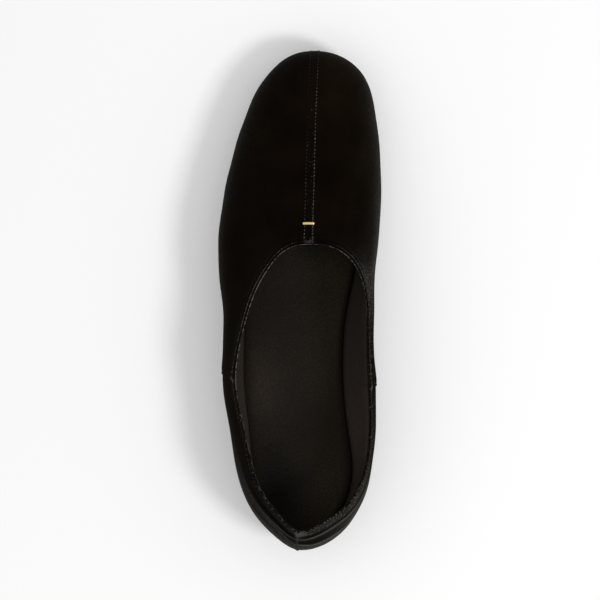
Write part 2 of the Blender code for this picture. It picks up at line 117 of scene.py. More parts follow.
# The collar's stitches: depth in millimetres, brightness painted on the black thread as a highlight, and how
# much of that every second one loses
COLLAR_ROW = {0: 2.1, 5: 2.1, 7: 1.2, 9: 0.9, 14: 0.9, 17: 1.1, 18: 1.7, 19: 2.1}
COLLAR_LIGHT = {
    0: 0.8, 2: 1.3, 4: 1.5, 6: 2.4, 7: 1.6, 8: 0.3, 9: 0.05,
    12: 0.05, 13: 1.2, 14: 3.8, 16: 4.2, 18: 2.6, 19: 0.6, 20: 1.0,
}
COLLAR_BROKEN = {0: 0.9, 6: 0.9, 7: 0.3, 9: 0.0, 17: 0.1, 18: 0.6, 19: 0.9}

# Soft folds of the slack heel in millimetres: where each is centred along the girth from the back seam
# (inner side positive) and how far it reaches there, how far below the topline it lies at that centre, how
# much lower it runs for each millimetre along, its half width and how far it stands out (inward where
# negative)
FOLD_COLUMNS = ("along", "reach", "below", "dip", "half", "out")
HEEL_FOLDS = (
    (28.0, 60.0, 8.4, 0.02, 1.7, 0.62),  # inner side, roll below the hem
    (18.0, 44.0, 11.4, 0.08, 1.8, -0.35),  # inner side, trough below it
    (10.0, 34.0, 14.6, 0.14, 2.6, 0.85),  # inner side, second roll
    (-22.0, 54.0, 5.8, -0.01, 1.5, -0.60),  # outer side, trough under the hem
    (-24.0, 56.0, 8.7, -0.03, 2.3, 0.55),  # outer side, roll below it
    (-20.0, 40.0, 13.4, -0.03, 2.2, -0.25),  # outer side, second trough
)


def eased(share):
    """A share from 0 to 1 with a soft start and end: 3 s squared minus 2 s cubed."""
    share = np.clip(share, 0.0, 1.0)
    return share * share * (3.0 - 2.0 * share)


def band(distance, half, ramp):
    """1 inside a band of that half width, easing to 0 over the ramp."""
    return 1.0 - eased((np.abs(distance) - half) / ramp)


def unit(vectors):
    """Vectors along the last axis, brought to length 1."""
    return vectors / np.maximum(np.linalg.norm(vectors, axis=-1, keepdims=True), TINY)


def chord_places(points):
    """Distances of a closed row of points along its chords, and the whole length round."""
    chords = np.linalg.norm(np.roll(points, -1, axis=0) - points, axis=1)
    return np.cumsum(chords) - chords, chords.sum()


def ring_spline(knots, period, values, at):
    """A closed cubic through the rows of values, with continuous curvature, read at the given places."""
    count = len(knots)
    step = np.diff(np.append(knots, period))
    before = np.roll(step, 1)
    row = np.arange(count)
    system = np.zeros((count, count))
    system[row, row] = 2.0 * (before + step)
    system[row, row - 1] += before
    system[row, (row + 1) % count] += step
    slope = (np.roll(values, -1, axis=0) - values) / step[:, None]
    bend = np.linalg.solve(system, 6.0 * (slope - np.roll(slope, 1, axis=0)))
    at = np.mod(at, period)
    left_row = np.searchsorted(knots, at, side="right") - 1
    right_row = (left_row + 1) % count
    width = step[left_row][:, None]
    right = (at - knots[left_row])[:, None] / width
    left = 1.0 - right
    curve = (left**3 - left) * bend[left_row] + (right**3 - right) * bend[right_row]
    return left * values[left_row] + right * values[right_row] + width**2 / 6.0 * curve


def length_property(name, description, millimetres):
    """A length that a user would change."""
    return FloatProperty(name=name, description=description, default=millimetres * MM, unit="LENGTH")


def colour_property(name, description, *linear):
    """A colour that a user would change, as linear red, green and blue."""
    return FloatVectorProperty(name=name, description=description, default=linear, subtype="COLOR")


class SlipperSizes(bpy.types.PropertyGroup):
    """Sizes of the shoe that a user would change."""

    length: length_property("Length", "Heel back to toe tip", 250.0)
    ball_width: length_property("Ball width", "Widest plan width", 81.8)
    instep: length_property("Throat height", "Top of the vamp", 55.0)
    heel_height: length_property("Heel height", "Floor to seat", 8.0)
    toe_spring: length_property("Toe spring", "Lift of the toe", 5.5)
    wall: length_property("Wall", "Velvet and lining together", 1.9)
    velvet: length_property("Velvet", "Velvet and its backing", 1.0)
    outsole: length_property("Outsole", "Outsole thickness", 3.5)
    insole: length_property("Insole", "Insole thickness", 3.0)
    gap: length_property("Seat gap", "Air between pieces", 0.3)
    stitch: length_property("Stitch pitch", "Stitch to stitch", 1.9)
    seed: IntProperty(name="Pile seed", description="Draw of the loose pile", default=7)


class SlipperColours(bpy.types.PropertyGroup):
    """Colours of the shoe and its floor, as linear values."""

    velvet: colour_property("Velvet", "Pile seen end on", 0.0040, 0.0026, 0.0014)
    # Pale of laid-over pile, also used for the velvet's painted glints and painted highlights
    rubbed: colour_property("Rubbed pile", "Pile laid over at seams", 0.075, 0.071, 0.064)
    # Pale of the painted sheen where the pile is seen from the side
    aslant: colour_property("Pile aslant", "Pile seen from the side", 0.084, 0.083, 0.077)
    # Loose pile and thread: dark, painted brighter as highlights by each point's light number
    pile_tip: colour_property("Pile tips", "Loose pile at edges", 0.085, 0.082, 0.076)
    thread: colour_property("Thread", "Stitching thread", 0.030, 0.028, 0.025)
    sock: colour_property("Sock leather", "Top of the insole", 0.0172, 0.0134, 0.0100)
    sock_tan: colour_property("Tanned sock", "Inner half of the insole", 0.0160, 0.0121, 0.0068)
    # Painted shade in the crevice where the wall meets the insole
    grime: colour_property("Edge shade", "Painted shade along the insole's edge", 0.0075, 0.0040, 0.0014)
    lining: colour_property("Lining leather", "Inside of the wall", 0.0335, 0.0262, 0.0205)
    # Pale of the painted highlight on the lining's turned edge
    edge: colour_property("Lining edge", "Turned edge at the topline", 0.120, 0.113, 0.102)
    sole: colour_property("Sole leather", "Outsole", 0.022, 0.018, 0.015)
    heel: colour_property("Heel leather", "Heel lifts", 0.017, 0.014, 0.012)
    gold: colour_property("Gold", "Bar at the throat", 0.90, 0.66, 0.27)
    floor: colour_property("Floor", "Studio floor", 0.86, 0.86, 0.86)


def sizes():
    """The sizes that are set in the scene."""
    return bpy.context.scene.slipper_sizes


def colours():
    """The colours that are set in the scene."""
    return bpy.context.scene.slipper_colours


class Last:
    """The smooth form of the shoe, stretched from the section table to the driving sizes."""

    # Samples down each half of a profile, and the step either way that gives the direction along the girth
    samples, nudge = 90, 0.5 * MM
    # Where along the shoe the heel seat ends, and where the flat ball starts and ends
    heel_seat_end, ball_start, ball_end = -58.0 * MM, 8.0 * MM, 62.0 * MM
    # How fully the wall rolls under, and how far the topline's slope is felt down the profile
    tuck_roundness, tuck_lift, top_reach = 0.88, 0.32, 0.44
    # How far the insole draws in at the arch, how far behind the waist, and over what length
    arch_draw, arch_back, arch_half, arch_ramp = 1.9 * MM, 24.0 * MM, 20.0 * MM, 34.0 * MM

    def __init__(self):
        self.sizes = sizes()
        table = np.array(SECTIONS)
        drawn = np.append(np.ptp(table[:, WIDE_PLAN], axis=0), table[ROW_TOE_TIP, TOP][-1])
        scale = np.array([self.sizes.ball_width, self.sizes.length, self.sizes.instep]) / drawn
        table[:, WIDE] *= scale
        table[:, TOP] *= scale
        table[:, TUCK] *= MM
        self.table = table
        self.places, self.girth = chord_places(table[:, WIDE_PLAN])
        self.top_places, self.top_girth = chord_places(table[:, TOP_PLAN])

    def topline_place(self, places):
        """Place along the topline for a place along the widest line: a rising cubic map through the rows."""
        places = np.mod(places, self.girth)
        step = np.diff(np.append(self.places, self.girth))
        rise = np.diff(np.append(self.top_places, self.top_girth)) / step
        slope = 2.0 * rise * np.roll(rise, 1) / (rise + np.roll(rise, 1))
        row = np.searchsorted(self.places, places, side="right") - 1
        after = (row + 1) % len(slope)
        share = (places - self.places[row]) / step[row]
        bend = slope[row] * share * (1.0 - share) ** 2 + slope[after] * share**2 * (share - 1.0)
        return self.top_places[row] + step[row] * (rise[row] * eased(share) + bend)

    def section(self, places):
        """The table's columns at places along the widest line, with the plan direction into the shoe."""
        values = ring_spline(self.places, self.girth, self.table, places)
        found = {name: values[:, i] for i, name in enumerate(SECTION_COLUMNS)}
        topline = ring_spline(self.top_places, self.top_girth, self.table[:, TOP], self.topline_place(places))
        found["wide"] = values[:, WIDE_PLAN]
        found["top"], found["top_z"] = topline[:, 0:2], topline[:, 2]
        ahead = ring_spline(self.places, self.girth, self.table[:, WIDE_PLAN], places + self.nudge)
        behind = ring_spline(self.places, self.girth, self.table[:, WIDE_PLAN], places - self.nudge)
        along = unit(ahead - behind)
        found["inward"] = np.column_stack([-along[:, 1], along[:, 0]])
        found["feather"] = found["wide"] + found["inward"] * found["tuck"][:, None]
        return found

    def tread(self, y):
        """Underside of the sole: heel seat, an eased arch, flat ball and a parabola of toe spring."""
        arch = 1.0 - eased((y - self.heel_seat_end) / (self.ball_start - self.heel_seat_end))
        toe = np.clip((y - self.ball_end) / (0.5 * self.sizes.length - self.ball_end), 0.0, None)
        return self.sizes.heel_height * arch + self.sizes.toe_spring * toe**2

    def sole_top(self, y):
        """Top of the outsole."""
        return self.tread(y) + self.sizes.outsole

    def seat(self, y):
        """Height at which upper and insole stand over the outsole."""
        return self.sole_top(y) + self.sizes.gap

    def profiles(self, places):
        """Profiles from topline to feather edge, as samples by places by xyz, with the depth of each sample.

        A cubic leaves the widest line upright and arrives at the topline's slope; a quadratic rolls under it.
        """
        found = self.section(places)
        wide, feather, top = found["wide"], found["feather"], found["top"]
        wide_z, top_z = found["wide_z"], found["top_z"]
        run = np.linalg.norm(top - wide, axis=1)
        toward = unit(top - wide)
        rise = top_z - wide_z
        slope = np.radians(found["slope"])
        reach = self.top_reach * np.hypot(run, rise)
        t = np.linspace(1.0, 0.0, self.samples)[:, None]
        near, far, end = 3 * (1 - t) ** 2 * t, 3 * (1 - t) * t**2, t**3
        out = far * (run - reach * np.cos(slope)) + end * run
        shoulder, arrival = wide_z + found["full"] * rise, top_z - reach * np.sin(slope)
        height = (1 - t) ** 3 * wide_z + near * shoulder + far * arrival + end * top_z
        above = np.dstack([wide[:, 0] + toward[:, 0] * out, wide[:, 1] + toward[:, 1] * out, height])
        foot_z = self.seat(feather[:, 1])
        bulge = np.column_stack([feather + self.tuck_roundness * (wide - feather), foot_z])
        bulge[:, 2] += self.tuck_lift * (wide_z - foot_z)
        t = t[1:, :, None]
        below = (1 - t) ** 2 * np.column_stack([feather, foot_z]) + 2 * t * (1 - t) * bulge
        below = below + t**2 * np.column_stack([wide, wide_z])
        points = np.concatenate([above, below])
        steps = np.linalg.norm(np.diff(points, axis=0), axis=2)
        return points, np.vstack([np.zeros(len(places)), np.cumsum(steps, axis=0)])

    def ring_distance(self, places, row):
        """Signed distance along the widest line from a row of the table."""
        return np.mod(places - self.places[row] + self.girth / 2, self.girth) - self.girth / 2

    def waist(self, places):
        """How far the insole draws in from the wall along the arch, on the inner side."""
        behind = self.ring_distance(places, ROW_WAIST_INNER) + self.arch_back
        return self.arch_draw * band(behind, self.arch_half, self.arch_ramp)

    def by_rows(self, places, values):
        """A value that is set at some rows of the table and runs straight between them round the shoe."""
        rows = sorted(values)
        return np.interp(places, self.places[rows], [values[row] for row in rows], period=self.girth)


def ring_normals(grid):
    """Unit normals, out of the shoe, of a grid closed along its columns: down the wall times along it."""
    along = np.roll(grid, -1, axis=1) - np.roll(grid, 1, axis=1)
    return unit(np.cross(np.gradient(grid, axis=0), along))


class Wall:
    """The displaced wall of the upper as a grid of rows by columns that other pieces can be set on."""

    # Rows and columns of the grid
    near_end, near_rows, near_crowding = 24.0 * MM, 56, 1.5
    low_rows, low_crowding = 46, 1.5
    even_columns, clear_share = 560, 0.4
    seam_columns = np.arange(-4.0, 4.01, 0.4) * MM
    # How much of a thickness is left at the topline, how far down it grows to the whole, and how many rows
    # give the direction in which the rim stands up
    rim_share, rim_reach, rim_lean_rows = 0.62, 6.0 * MM, 3
    # Waves of slack cloth: their heights and how far along and down the wall each runs for a radian, in
    # millimetres, and where below the topline they set in
    cross_wave, slant_wave = 0.16, 0.12
    wave_runs = ((9.0, 23.0), (31.0, 13.0), (4.9, -11.0))
    wave_from, wave_ramp = 4.0 * MM, 14.0 * MM
    # Hem, and the grooves that stitches pull, which are shallow in the collar round the throat
    hem_width, hem_step, hem_clear, seam_ramp = 2.9 * MM, 0.18 * MM, 1.6 * MM, 0.8 * MM
    groove_half, groove_depth, pucker = 0.8 * MM, 0.30 * MM, 0.2
    throat_half, throat_ramp, throat_flat = 50.0 * MM, 40.0 * MM, 0.85
    # Toe seam: its two rows, its lean near the toe, the band between the rows and the crease along the middle
    seam_row_toe, seam_row_throat, seam_lean, lean_from = 2.0 * MM, 2.05 * MM, 0.6 * MM, 0.5
    seam_half, seam_step, seam_fade = 2.4 * MM, 0.4 * MM, 0.75
    seam_crease, crease_half = 0.25 * MM, 0.6 * MM
    # Back seam with the nub at its top, and the laps of the side seams
    back_half, back_ramp, back_step, back_crease = 0.5 * MM, 1.5 * MM, 0.12 * MM, 0.4 * MM
    nub_step, nub_end, nub_ramp = 0.7 * MM, 2.4 * MM, 6.0 * MM
    lap_step, lap_ramp, lap_fade, lap_row = 0.55 * MM, 0.5 * MM, 14.0 * MM, 1.7 * MM
    # Lasting gathers at the toe, and how far above the feather edge the wall is flattened
    gather_pitch, gather_wander, gather_run, gather_height = 5.5 * MM, 1.3, 17.0 * MM, 0.22 * MM
    gather_half, gather_fade, gather_above, gather_ramp = 40.0 * MM, 30.0 * MM, 3.0 * MM, 7.0 * MM
    lasted_fade = 8.0 * MM
    # Painted sheen and painted glints of the pile: the hem's end, the crests of the folds painted pale as
    # highlights, the inner side with its heel, and a painted sheen patch on the inner toe
    hem_end, hem_ramp = 5.4 * MM, 1.5 * MM
    crest_from, crest_ramp, crest_pale, inner_crest_more = 0.36 * MM, 0.26 * MM, 0.4, 1.6
    back_ease, instep_ease, heel_end, heel_ease = 4.0 * MM, 20.0 * MM, 34.0 * MM, 30.0 * MM
    hem_glint, glint_end, glint_ramp = 0.6, 9.0 * MM, 6.0 * MM
    toe_patch, toe_patch_half, toe_patch_pale = (20.0 * MM, 112.0 * MM), (17.0 * MM, 22.0 * MM), 0.75
    # Pile laid over along the toe seam's rows, in puckers between them, and down the back seam; the row
    # nearer the lamp gets more, a painted highlight
    laid_half, near_laid, near_ramp, far_laid, far_ramp = 0.1 * MM, 0.8, 0.6 * MM, 0.25, 0.5 * MM
    pucker_laid, pucker_in, pucker_at, pucker_half, pucker_ramp = 0.14, 0.5 * MM, 0.4, 0.15, 0.25
    back_laid_half, back_laid_ramp, back_laid_end, back_laid_fade = 0.4 * MM, 1.2 * MM, 4.0 * MM, 16.0 * MM

    def __init__(self):
        self.last = Last()
        self.places = self.column_places()
        self.smooth, self.depth = self.smooth_grid()
        self.toe = self.last.ring_distance(self.places, ROW_TOE_TIP)
        self.back = self.last.ring_distance(self.places, ROW_HEEL_BACK)
        self.smooth_normals = ring_normals(self.smooth)
        self.folds = self.heel_folds()
        self.bent = self.smooth + self.smooth_normals * self.wall_bend()[:, :, None]
        self.points = self.bent + self.smooth_normals * self.surface_relief()[:, :, None]
        self.normals = ring_normals(self.points)

    def column_places(self):
        """Even columns round the girth, with close ones across each seam."""
        last = self.last
        rows = (ROW_HEEL_BACK, ROW_SEAM_INNER, ROW_TOE_TIP, ROW_SEAM_OUTER)
        seams = np.mod((last.places[list(rows)][:, None] + self.seam_columns).ravel(), last.girth)
        even = np.arange(self.even_columns) * last.girth / self.even_columns
        reach = self.seam_columns[-1] + self.clear_share * last.girth / self.even_columns
        clear = np.min([np.abs(last.ring_distance(even, row)) for row in rows], axis=0) > reach
        return np.sort(np.concatenate([even[clear], seams]))

    def row_depths(self, length):
        """Rows crowded towards the topline down to a fixed depth, then crowded towards the feather edge."""
        near = self.near_end * np.linspace(0.0, 1.0, self.near_rows)[:, None] ** self.near_crowding
        share = 1.0 - (1.0 - np.linspace(0.0, 1.0, self.low_rows + 1)[1:, None]) ** self.low_crowding
        return np.vstack([near * np.ones_like(length), self.near_end + share * (length - self.near_end)])

    def row_of(self, depth, length):
        """Row number, with fractions, of a depth on a profile of that length: the inverse of row_depths."""
        near = (np.clip(depth, 0.0, self.near_end) / self.near_end) ** (1.0 / self.near_crowding)
        share = np.clip((depth - self.near_end) / (length - self.near_end), 0.0, 1.0)
        low = 1.0 - (1.0 - share) ** (1.0 / self.low_crowding)
        return near * (self.near_rows - 1) + low * self.low_rows

    def smooth_grid(self):
        """The last's profiles at the rows' depths, in one interpolation, each pushed past the one before."""
        points, depth = self.last.profiles(self.places)
        wanted = np.minimum(self.row_depths(depth[-1]), depth[-1])
        apart = 2.0 * depth[-1].max() * np.arange(len(self.places))
        key, ask = (depth + apart).T.ravel(), (wanted + apart).T.ravel()
        axes = [np.interp(ask, key, points[:, :, k].T.ravel()) for k in range(3)]
        return np.dstack([axis.reshape(len(self.places), -1).T for axis in axes]), wanted

    def behind(self, depth, thickness):
        """The bent wall at depths by rows and columns, moved inward by a thickness, less at the topline."""
        row = self.row_of(depth, self.depth[-1])
        top = np.clip(np.floor(row).astype(int), 0, len(self.bent) - 2)
        column = np.arange(len(self.places))[None, :]
        share = (row - top)[:, :, None]
        skived = self.rim_share + (1.0 - self.rim_share) * eased(self.depth / self.rim_reach)
        face = self.bent - self.smooth_normals * (thickness * skived)[:, :, None]
        return face[top, column] * (1 - share) + face[top + 1, column] * share

    def back_face(self, thickness, rows):
        """The wall moved inward by a thickness, as a few even rows from the topline down to its foot."""
        share = np.linspace(0.0, 1.0, rows)[:, None]
        face = self.behind(share * self.depth[-1], thickness)
        face[-1] = self.foot(thickness)
        return face

    def foot(self, inset, lift=0.0):
        """The ring where the wall, moved in by an inset, stands over the outsole."""
        found = self.last.section(self.places)
        plan = found["feather"] + found["inward"] * np.reshape(inset, (-1, 1))
        return np.column_stack([plan, self.last.seat(plan[:, 1]) + lift])

    def rim(self, outer, inner, rows, fullness):
        """Half an ellipse from an outer ring over to an inner one, standing up from the topline."""
        upward = unit(self.bent[0] - self.bent[self.rim_lean_rows])
        middle, half = 0.5 * (outer + inner), 0.5 * (outer - inner)
        turn = np.linspace(0.0, math.pi, rows + 2)[1:-1, None, None]
        lift = np.linalg.norm(half, axis=1)[:, None] * fullness
        return middle + half * np.cos(turn) + upward * lift * np.sin(turn)

    def on(self, places, depth):
        """Points, normals and unit directions along and down the displaced velvet, at places and depths."""
        places = np.mod(places, self.last.girth)
        ring = np.append(self.places, self.last.girth + self.places[0])
        column = np.interp(places, ring, np.arange(len(ring)))
        left = np.floor(column).astype(int) % len(self.places)
        right = (left + 1) % len(self.places)
        share = (column - np.floor(column))[:, None]
        row = self.row_of(depth, self.depth[-1, left])
        top = np.clip(np.floor(row).astype(int), 0, len(self.points) - 2)
        down = np.clip(row - top, 0.0, 1.0)[:, None]

        def mixed(grid):
            """Straight between the four points of the grid round each place."""
            upper = grid[top, left] * (1 - share) + grid[top, right] * share
            lower = grid[top + 1, left] * (1 - share) + grid[top + 1, right] * share
            return upper * (1 - down) + lower * down

        normal = unit(mixed(self.normals))
        along = self.points[top, right] - self.points[top, left]
        along = unit(along - normal * np.sum(along * normal, axis=1, keepdims=True))
        return mixed(self.points), normal, along, np.cross(along, normal)

    def whole_depth(self, place):
        """Depth of the feather edge below the topline at one place."""
        return float(np.interp(np.mod(place, self.last.girth), self.places, self.depth[-1]))

    def seam_row(self, share):
        """Half the distance between the toe seam's rows, by the share of the way from throat to toe."""
        return self.seam_row_throat + (self.seam_row_toe - self.seam_row_throat) * share

    def seam_middle(self, share):
        """Where the toe seam's middle lies from the toe tip, by that share: it leans to the inner side."""
        return -self.seam_lean * eased((share - self.lean_from) / (1.0 - self.lean_from))

    def by_rows(self, values):
        """A value that is set at some rows of the table, at every column."""
        return self.last.by_rows(self.places, values)

    def collar_row(self, places):
        """Depth of the collar's stitch row below the topline."""
        return MM * self.last.by_rows(places, COLLAR_ROW)

    def lasted(self):
        """1 on the free wall, easing to 0 where the upper is pulled under and flattened."""
        return eased((self.depth[-1] - self.depth) / self.lasted_fade)

    def heel_folds(self):
        """Rolls and troughs round the slack heel: humps across slanting lines, fading at their ends."""
        out = np.zeros_like(self.depth)
        for row in HEEL_FOLDS:
            fold = dict(zip(FOLD_COLUMNS, row))
            along = self.back - fold["along"] * MM
            below = fold["below"] * MM + fold["dip"] * along
            across = band(self.depth - below, 0.0, fold["half"] * MM)
            out = out + fold["out"] * MM * band(along, 0.0, fold["reach"] * MM) * across
        return out

    def wall_bend(self):
        """What the whole wall does: heel folds and long, faint waves of slack cloth.

        The waves are two sines that cross, multiplied, and a third aslant, added.
        """
        s, d = self.places / MM, self.depth / MM
        first, second, third = (np.sin(s / along + d / down) for along, down in self.wave_runs)
        waves = self.cross_wave * first * second + self.slant_wave * third
        free = eased((self.depth - self.wave_from) / self.wave_ramp)
        return self.lasted() * (self.folds + waves * MM * free)

    def surface_relief(self):
        """What the velvet alone does: hem, seam bands, laps, stitch grooves and lasting gathers, added up."""
        last, depth, toe, back = self.last, self.depth, self.toe, self.back
        round_top = np.cos(2.0 * math.pi * last.topline_place(self.places) / last.sizes.stitch)
        down = np.cos(2.0 * math.pi * depth / last.sizes.stitch)

        def groove(distance, wave):
            """A trough along a row of stitches, a little deeper at each of them."""
            bite = 1.0 - self.pucker + self.pucker * wave
            return -self.groove_depth * band(distance, 0.0, self.groove_half) * bite

        sewn = 1.0 - self.throat_flat * band(toe, self.throat_half, self.throat_ramp)
        out = self.hem_step * band(depth, self.hem_width, self.seam_ramp)
        out = out + sewn * groove(depth - self.collar_row(self.places), round_top)
        clear_of_hem = eased((depth - self.hem_clear) / self.hem_clear)
        share = depth / depth[-1]
        aside = toe - self.seam_middle(share)
        seam = self.seam_step * band(aside, self.seam_half, self.seam_ramp)
        seam = seam - self.seam_crease * band(aside, 0.0, self.crease_half)
        seam = seam + groove(np.abs(aside) - self.seam_row(share), down)
        out = out + seam * clear_of_hem * (1.0 - self.seam_fade * share)
        nub = self.nub_step * band(depth, self.nub_end, self.nub_ramp)
        out = out + (self.back_step + nub) * band(back, self.back_half, self.back_ramp)
        out = out - self.back_crease * band(back, 0.0, self.crease_half)
        for row, forward in SIDE_SEAMS:
            ahead = forward * last.ring_distance(self.places, row)
            lap = self.lap_step * eased(ahead / self.lap_ramp) * (1.0 - eased(ahead / self.lap_fade))
            out = out + lap + groove(ahead - self.lap_row, down) * clear_of_hem
        wander = self.gather_wander * np.sin(self.places / self.gather_run)
        gathers = np.sin(2.0 * math.pi * self.places / self.gather_pitch + wander)
        gathers = gathers * band(toe, self.gather_half, self.gather_fade)
        gathers = gathers * band(depth[-1] - depth - self.gather_above, 0.0, self.gather_ramp)
        return self.lasted() * out + self.gather_height * gathers

    def on_hem(self):
        """1 on the hem as it is seen, easing to 0 below it."""
        return band(self.depth, self.hem_end, self.hem_ramp)

    def inner_side(self):
        """1 along the inner side from heel back to instep, easing to 0 ahead of it and across the heel."""
        end = self.last.places[ROW_INSTEP_INNER] + self.instep_ease
        return eased(self.places / self.back_ease) * eased((end - self.places) / self.instep_ease)

    def inner_heel(self):
        """1 on the inner side of the heel, easing to 0 along the quarter."""
        behind = 1.0 - eased((self.places - self.heel_end) / self.heel_ease)
        return eased(self.places / self.back_ease) * behind

    def aslant(self):
        """How pale the pile is painted from the side, a painted sheen: by place, less on the hem, more on the
        crests of the folds as a painted highlight.
        """
        crest = eased((self.folds - self.crest_from) / self.crest_ramp)
        crest = (self.crest_pale + self.inner_crest_more * self.inner_heel()) * crest
        return self.by_rows(PAINTED_PILE_SHEEN) * (1.0 - self.by_rows(HEM_SHADE) * self.on_hem()) + crest

    def glint(self):
        """Where specks of the pile are painted pale as glints, as if they caught light from the side, from 0
        to 1: inner heel's hem, and wall.
        """
        hem = self.hem_glint * self.inner_heel() * self.on_hem()
        return hem + self.by_rows(WALL_GLINT) * band(self.depth, self.glint_end, self.glint_ramp)

    def stroked(self):
        """How much paler the pile is painted in an oval on the inner toe, the side towards the lamp: a
        painted sheen.
        """
        away = (self.smooth[..., 0:2] - self.toe_patch) / self.toe_patch_half
        return 1.0 + self.toe_patch_pale * np.exp(-np.sum(away**2, axis=2))

    def rubbed(self):
        """Where the pile is laid over, from 0 to 1: toe seam's rows, puckers between them, back seam. The row
        nearer the lamp gets more, a painted highlight.
        """
        share = self.depth / self.depth[-1]
        aside, row = self.toe - self.seam_middle(share), self.seam_row(share)
        near = self.near_laid * band(aside + row, self.laid_half, self.near_ramp)
        far = self.far_laid * band(aside - row, self.laid_half, self.far_ramp)
        puckers = self.pucker_laid * band(aside, row - self.pucker_in, self.pucker_in)
        puckers = puckers * band(share - self.pucker_at, self.pucker_half, self.pucker_ramp)
        laid = np.maximum((1.0 - share) ** 2 * np.maximum(near, far), puckers)
        back = band(self.back, self.back_laid_half, self.back_laid_ramp)
        return np.maximum(laid, back * band(self.depth, self.back_laid_end, self.back_laid_fade))


def mesh_from_arrays(name, points, faces, masks=()):
    """A smooth shaded mesh from an array of points and an array of faces with equal corner counts.

    Masks are named numbers at its points, for its material to read.
    """
    mesh = bpy.data.meshes.new(name)
    corners = faces.shape[1]
    mesh.vertices.add(len(points))
    mesh.vertices.foreach_set("co", np.ascontiguousarray(points, np.float32).ravel())
    mesh.loops.add(faces.size)
    mesh.loops.foreach_set("vertex_index", faces.astype(np.int32).ravel())
    mesh.polygons.add(len(faces))
    mesh.polygons.foreach_set("loop_start", np.arange(len(faces), dtype=np.int32) * corners)
    mesh.update(calc_edges=True)
    mesh.validate()
    mesh.shade_smooth()
    for key, values in dict(masks).items():
        layer = mesh.attributes.new(key, "FLOAT", "POINT")
        layer.data.foreach_set("value", np.ascontiguousarray(values, np.float32).ravel())
    return mesh


def mesh_from_grid(name, grid, masks=(), closed_rows=False, sharp_degrees=None):
    """A welded mesh of quads on a grid of rows by columns by xyz, with masks by rows and columns.

    The grid is closed along its columns and, if asked, its rows.
    """
    rows, columns = grid.shape[:2]
    row = np.arange(rows if closed_rows else rows - 1)[:, None]
    column = np.arange(columns)[None, :]
    next_row, next_column = (row + 1) % rows, (column + 1) % columns
    corners = (row * columns + column, next_row * columns + column)
    corners += (next_row * columns + next_column, row * columns + next_column)
    faces = np.stack([np.broadcast_to(c, (len(row), columns)) for c in corners], axis=-1).reshape(-1, 4)
    mesh = mesh_from_arrays(name, grid.reshape(-1, 3), faces, masks)
    weld(mesh, sharp_degrees)
    return mesh


def weld(mesh, sharp_degrees):
    """Merge the points that meet at poles and spines, drop the faces that vanish there and face outwards."""
    bm = bmesh.new()
    bm.from_mesh(mesh)
    bmesh.ops.remove_doubles(bm, verts=bm.verts, dist=MERGE_DISTANCE)
    bmesh.ops.dissolve_degenerate(bm, edges=bm.edges, dist=SLIVER)
    bmesh.ops.recalc_face_normals(bm, faces=bm.faces)
    bm.to_mesh(mesh)
    bm.free()
    mesh.shade_smooth()
    if sharp_degrees is not None:
        mesh.set_sharp_from_angle(angle=math.radians(sharp_degrees))


def new_object(name, data):
    """An object in the scene for a mesh, a lamp or a camera."""
    made = bpy.data.objects.new(name, data)
    bpy.context.scene.collection.objects.link(made)
    return made


def add_piece(name, mesh, material, stands_for=()):
    """Link a mesh as a piece of the shoe that rides on its one body."""
    mesh.materials.append(material)
    piece = new_object(name, mesh)
    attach(piece, BODY)
    if stands_for:
        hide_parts(*stands_for)


def plug(tree, made, **sockets):
    """Set a node's sockets, or link them where the value is another socket, and hand the node back.

    A socket is given by its name with underscores for spaces, or as _0, _1 and so on by its number.
    """
    for key, value in sockets.items():
        socket = made.inputs[int(key[1:]) if key.startswith("_") else key.replace("_", " ")]
        if isinstance(value, bpy.types.NodeSocket):
            tree.links.new(value, socket)
        else:
            socket.default_value = value
    return made


def node(tree, kind, settings=(), **sockets):
    """A shader node with its settings and its sockets."""
    made = tree.nodes.new(kind)
    for key, value in dict(settings).items():
        setattr(made, key, value)
    return plug(tree, made, **sockets)


def maths(tree, operation, *values):
    """The result of a maths node."""
    sockets = {f"_{i}": value for i, value in enumerate(values)}
    return node(tree, "ShaderNodeMath", {"operation": operation}, **sockets).outputs[0]


def product(tree, *values):
    """Values multiplied one after the other."""
    result = values[0]
    for value in values[1:]:
        result = maths(tree, "MULTIPLY", result, value)
    return result


def mixed_colour(tree, share, first, second):
    """Two colours mixed by a share."""
    return node(tree, "ShaderNodeMix", {"data_type": "RGBA"}, _0=share, _6=first, _7=second).outputs[2]


def shaded(tree, colour, strength):
    """A colour multiplied by a strength."""
    return node(tree, "ShaderNodeVectorMath", {"operation": "SCALE"}, _0=colour, Scale=strength).outputs[0]


def ranged(tree, value, between, to=(0.0, 1.0)):
    """A value stretched from one range to another, clamped."""
    sockets = {"From_Min": between[0], "From_Max": between[1], "To_Min": to[0], "To_Max": to[1]}
    return node(tree, "ShaderNodeMapRange", Value=value, **sockets).outputs[0]


def noise(tree, scale, detail=2.0, roughness=0.55, output="Fac"):
    """Noise in the piece's own space, from 0 to 1."""
    sockets = {"Scale": scale, "Detail": detail, "Roughness": roughness}
    return node(tree, "ShaderNodeTexNoise", Vector=object_place(tree), **sockets).outputs[output]


def object_place(tree):
    """Places in the piece's own space."""
    return node(tree, "ShaderNodeTexCoord").outputs["Object"]


def mask(tree, name):
    """The named number at the piece's points."""
    return node(tree, "ShaderNodeAttribute", {"attribute_name": name}).outputs["Fac"]


def bump_normal(tree, height, strength, distance):
    """The normal of a bump node fed by a height."""
    return node(tree, "ShaderNodeBump", Height=height, Strength=strength, Distance=distance).outputs["Normal"]


def new_group(name, inputs, outputs):
    """An empty shader node group with named sockets, its start's sockets and its end."""
    tree = bpy.data.node_groups.new(name, "ShaderNodeTree")
    for label, kind, default in inputs:
        tree.interface.new_socket(label, in_out="INPUT", socket_type=kind).default_value = default
    for label, kind in outputs:
        tree.interface.new_socket(label, in_out="OUTPUT", socket_type=kind)
    return tree, tree.nodes.new("NodeGroupInput").outputs, tree.nodes.new("NodeGroupOutput")


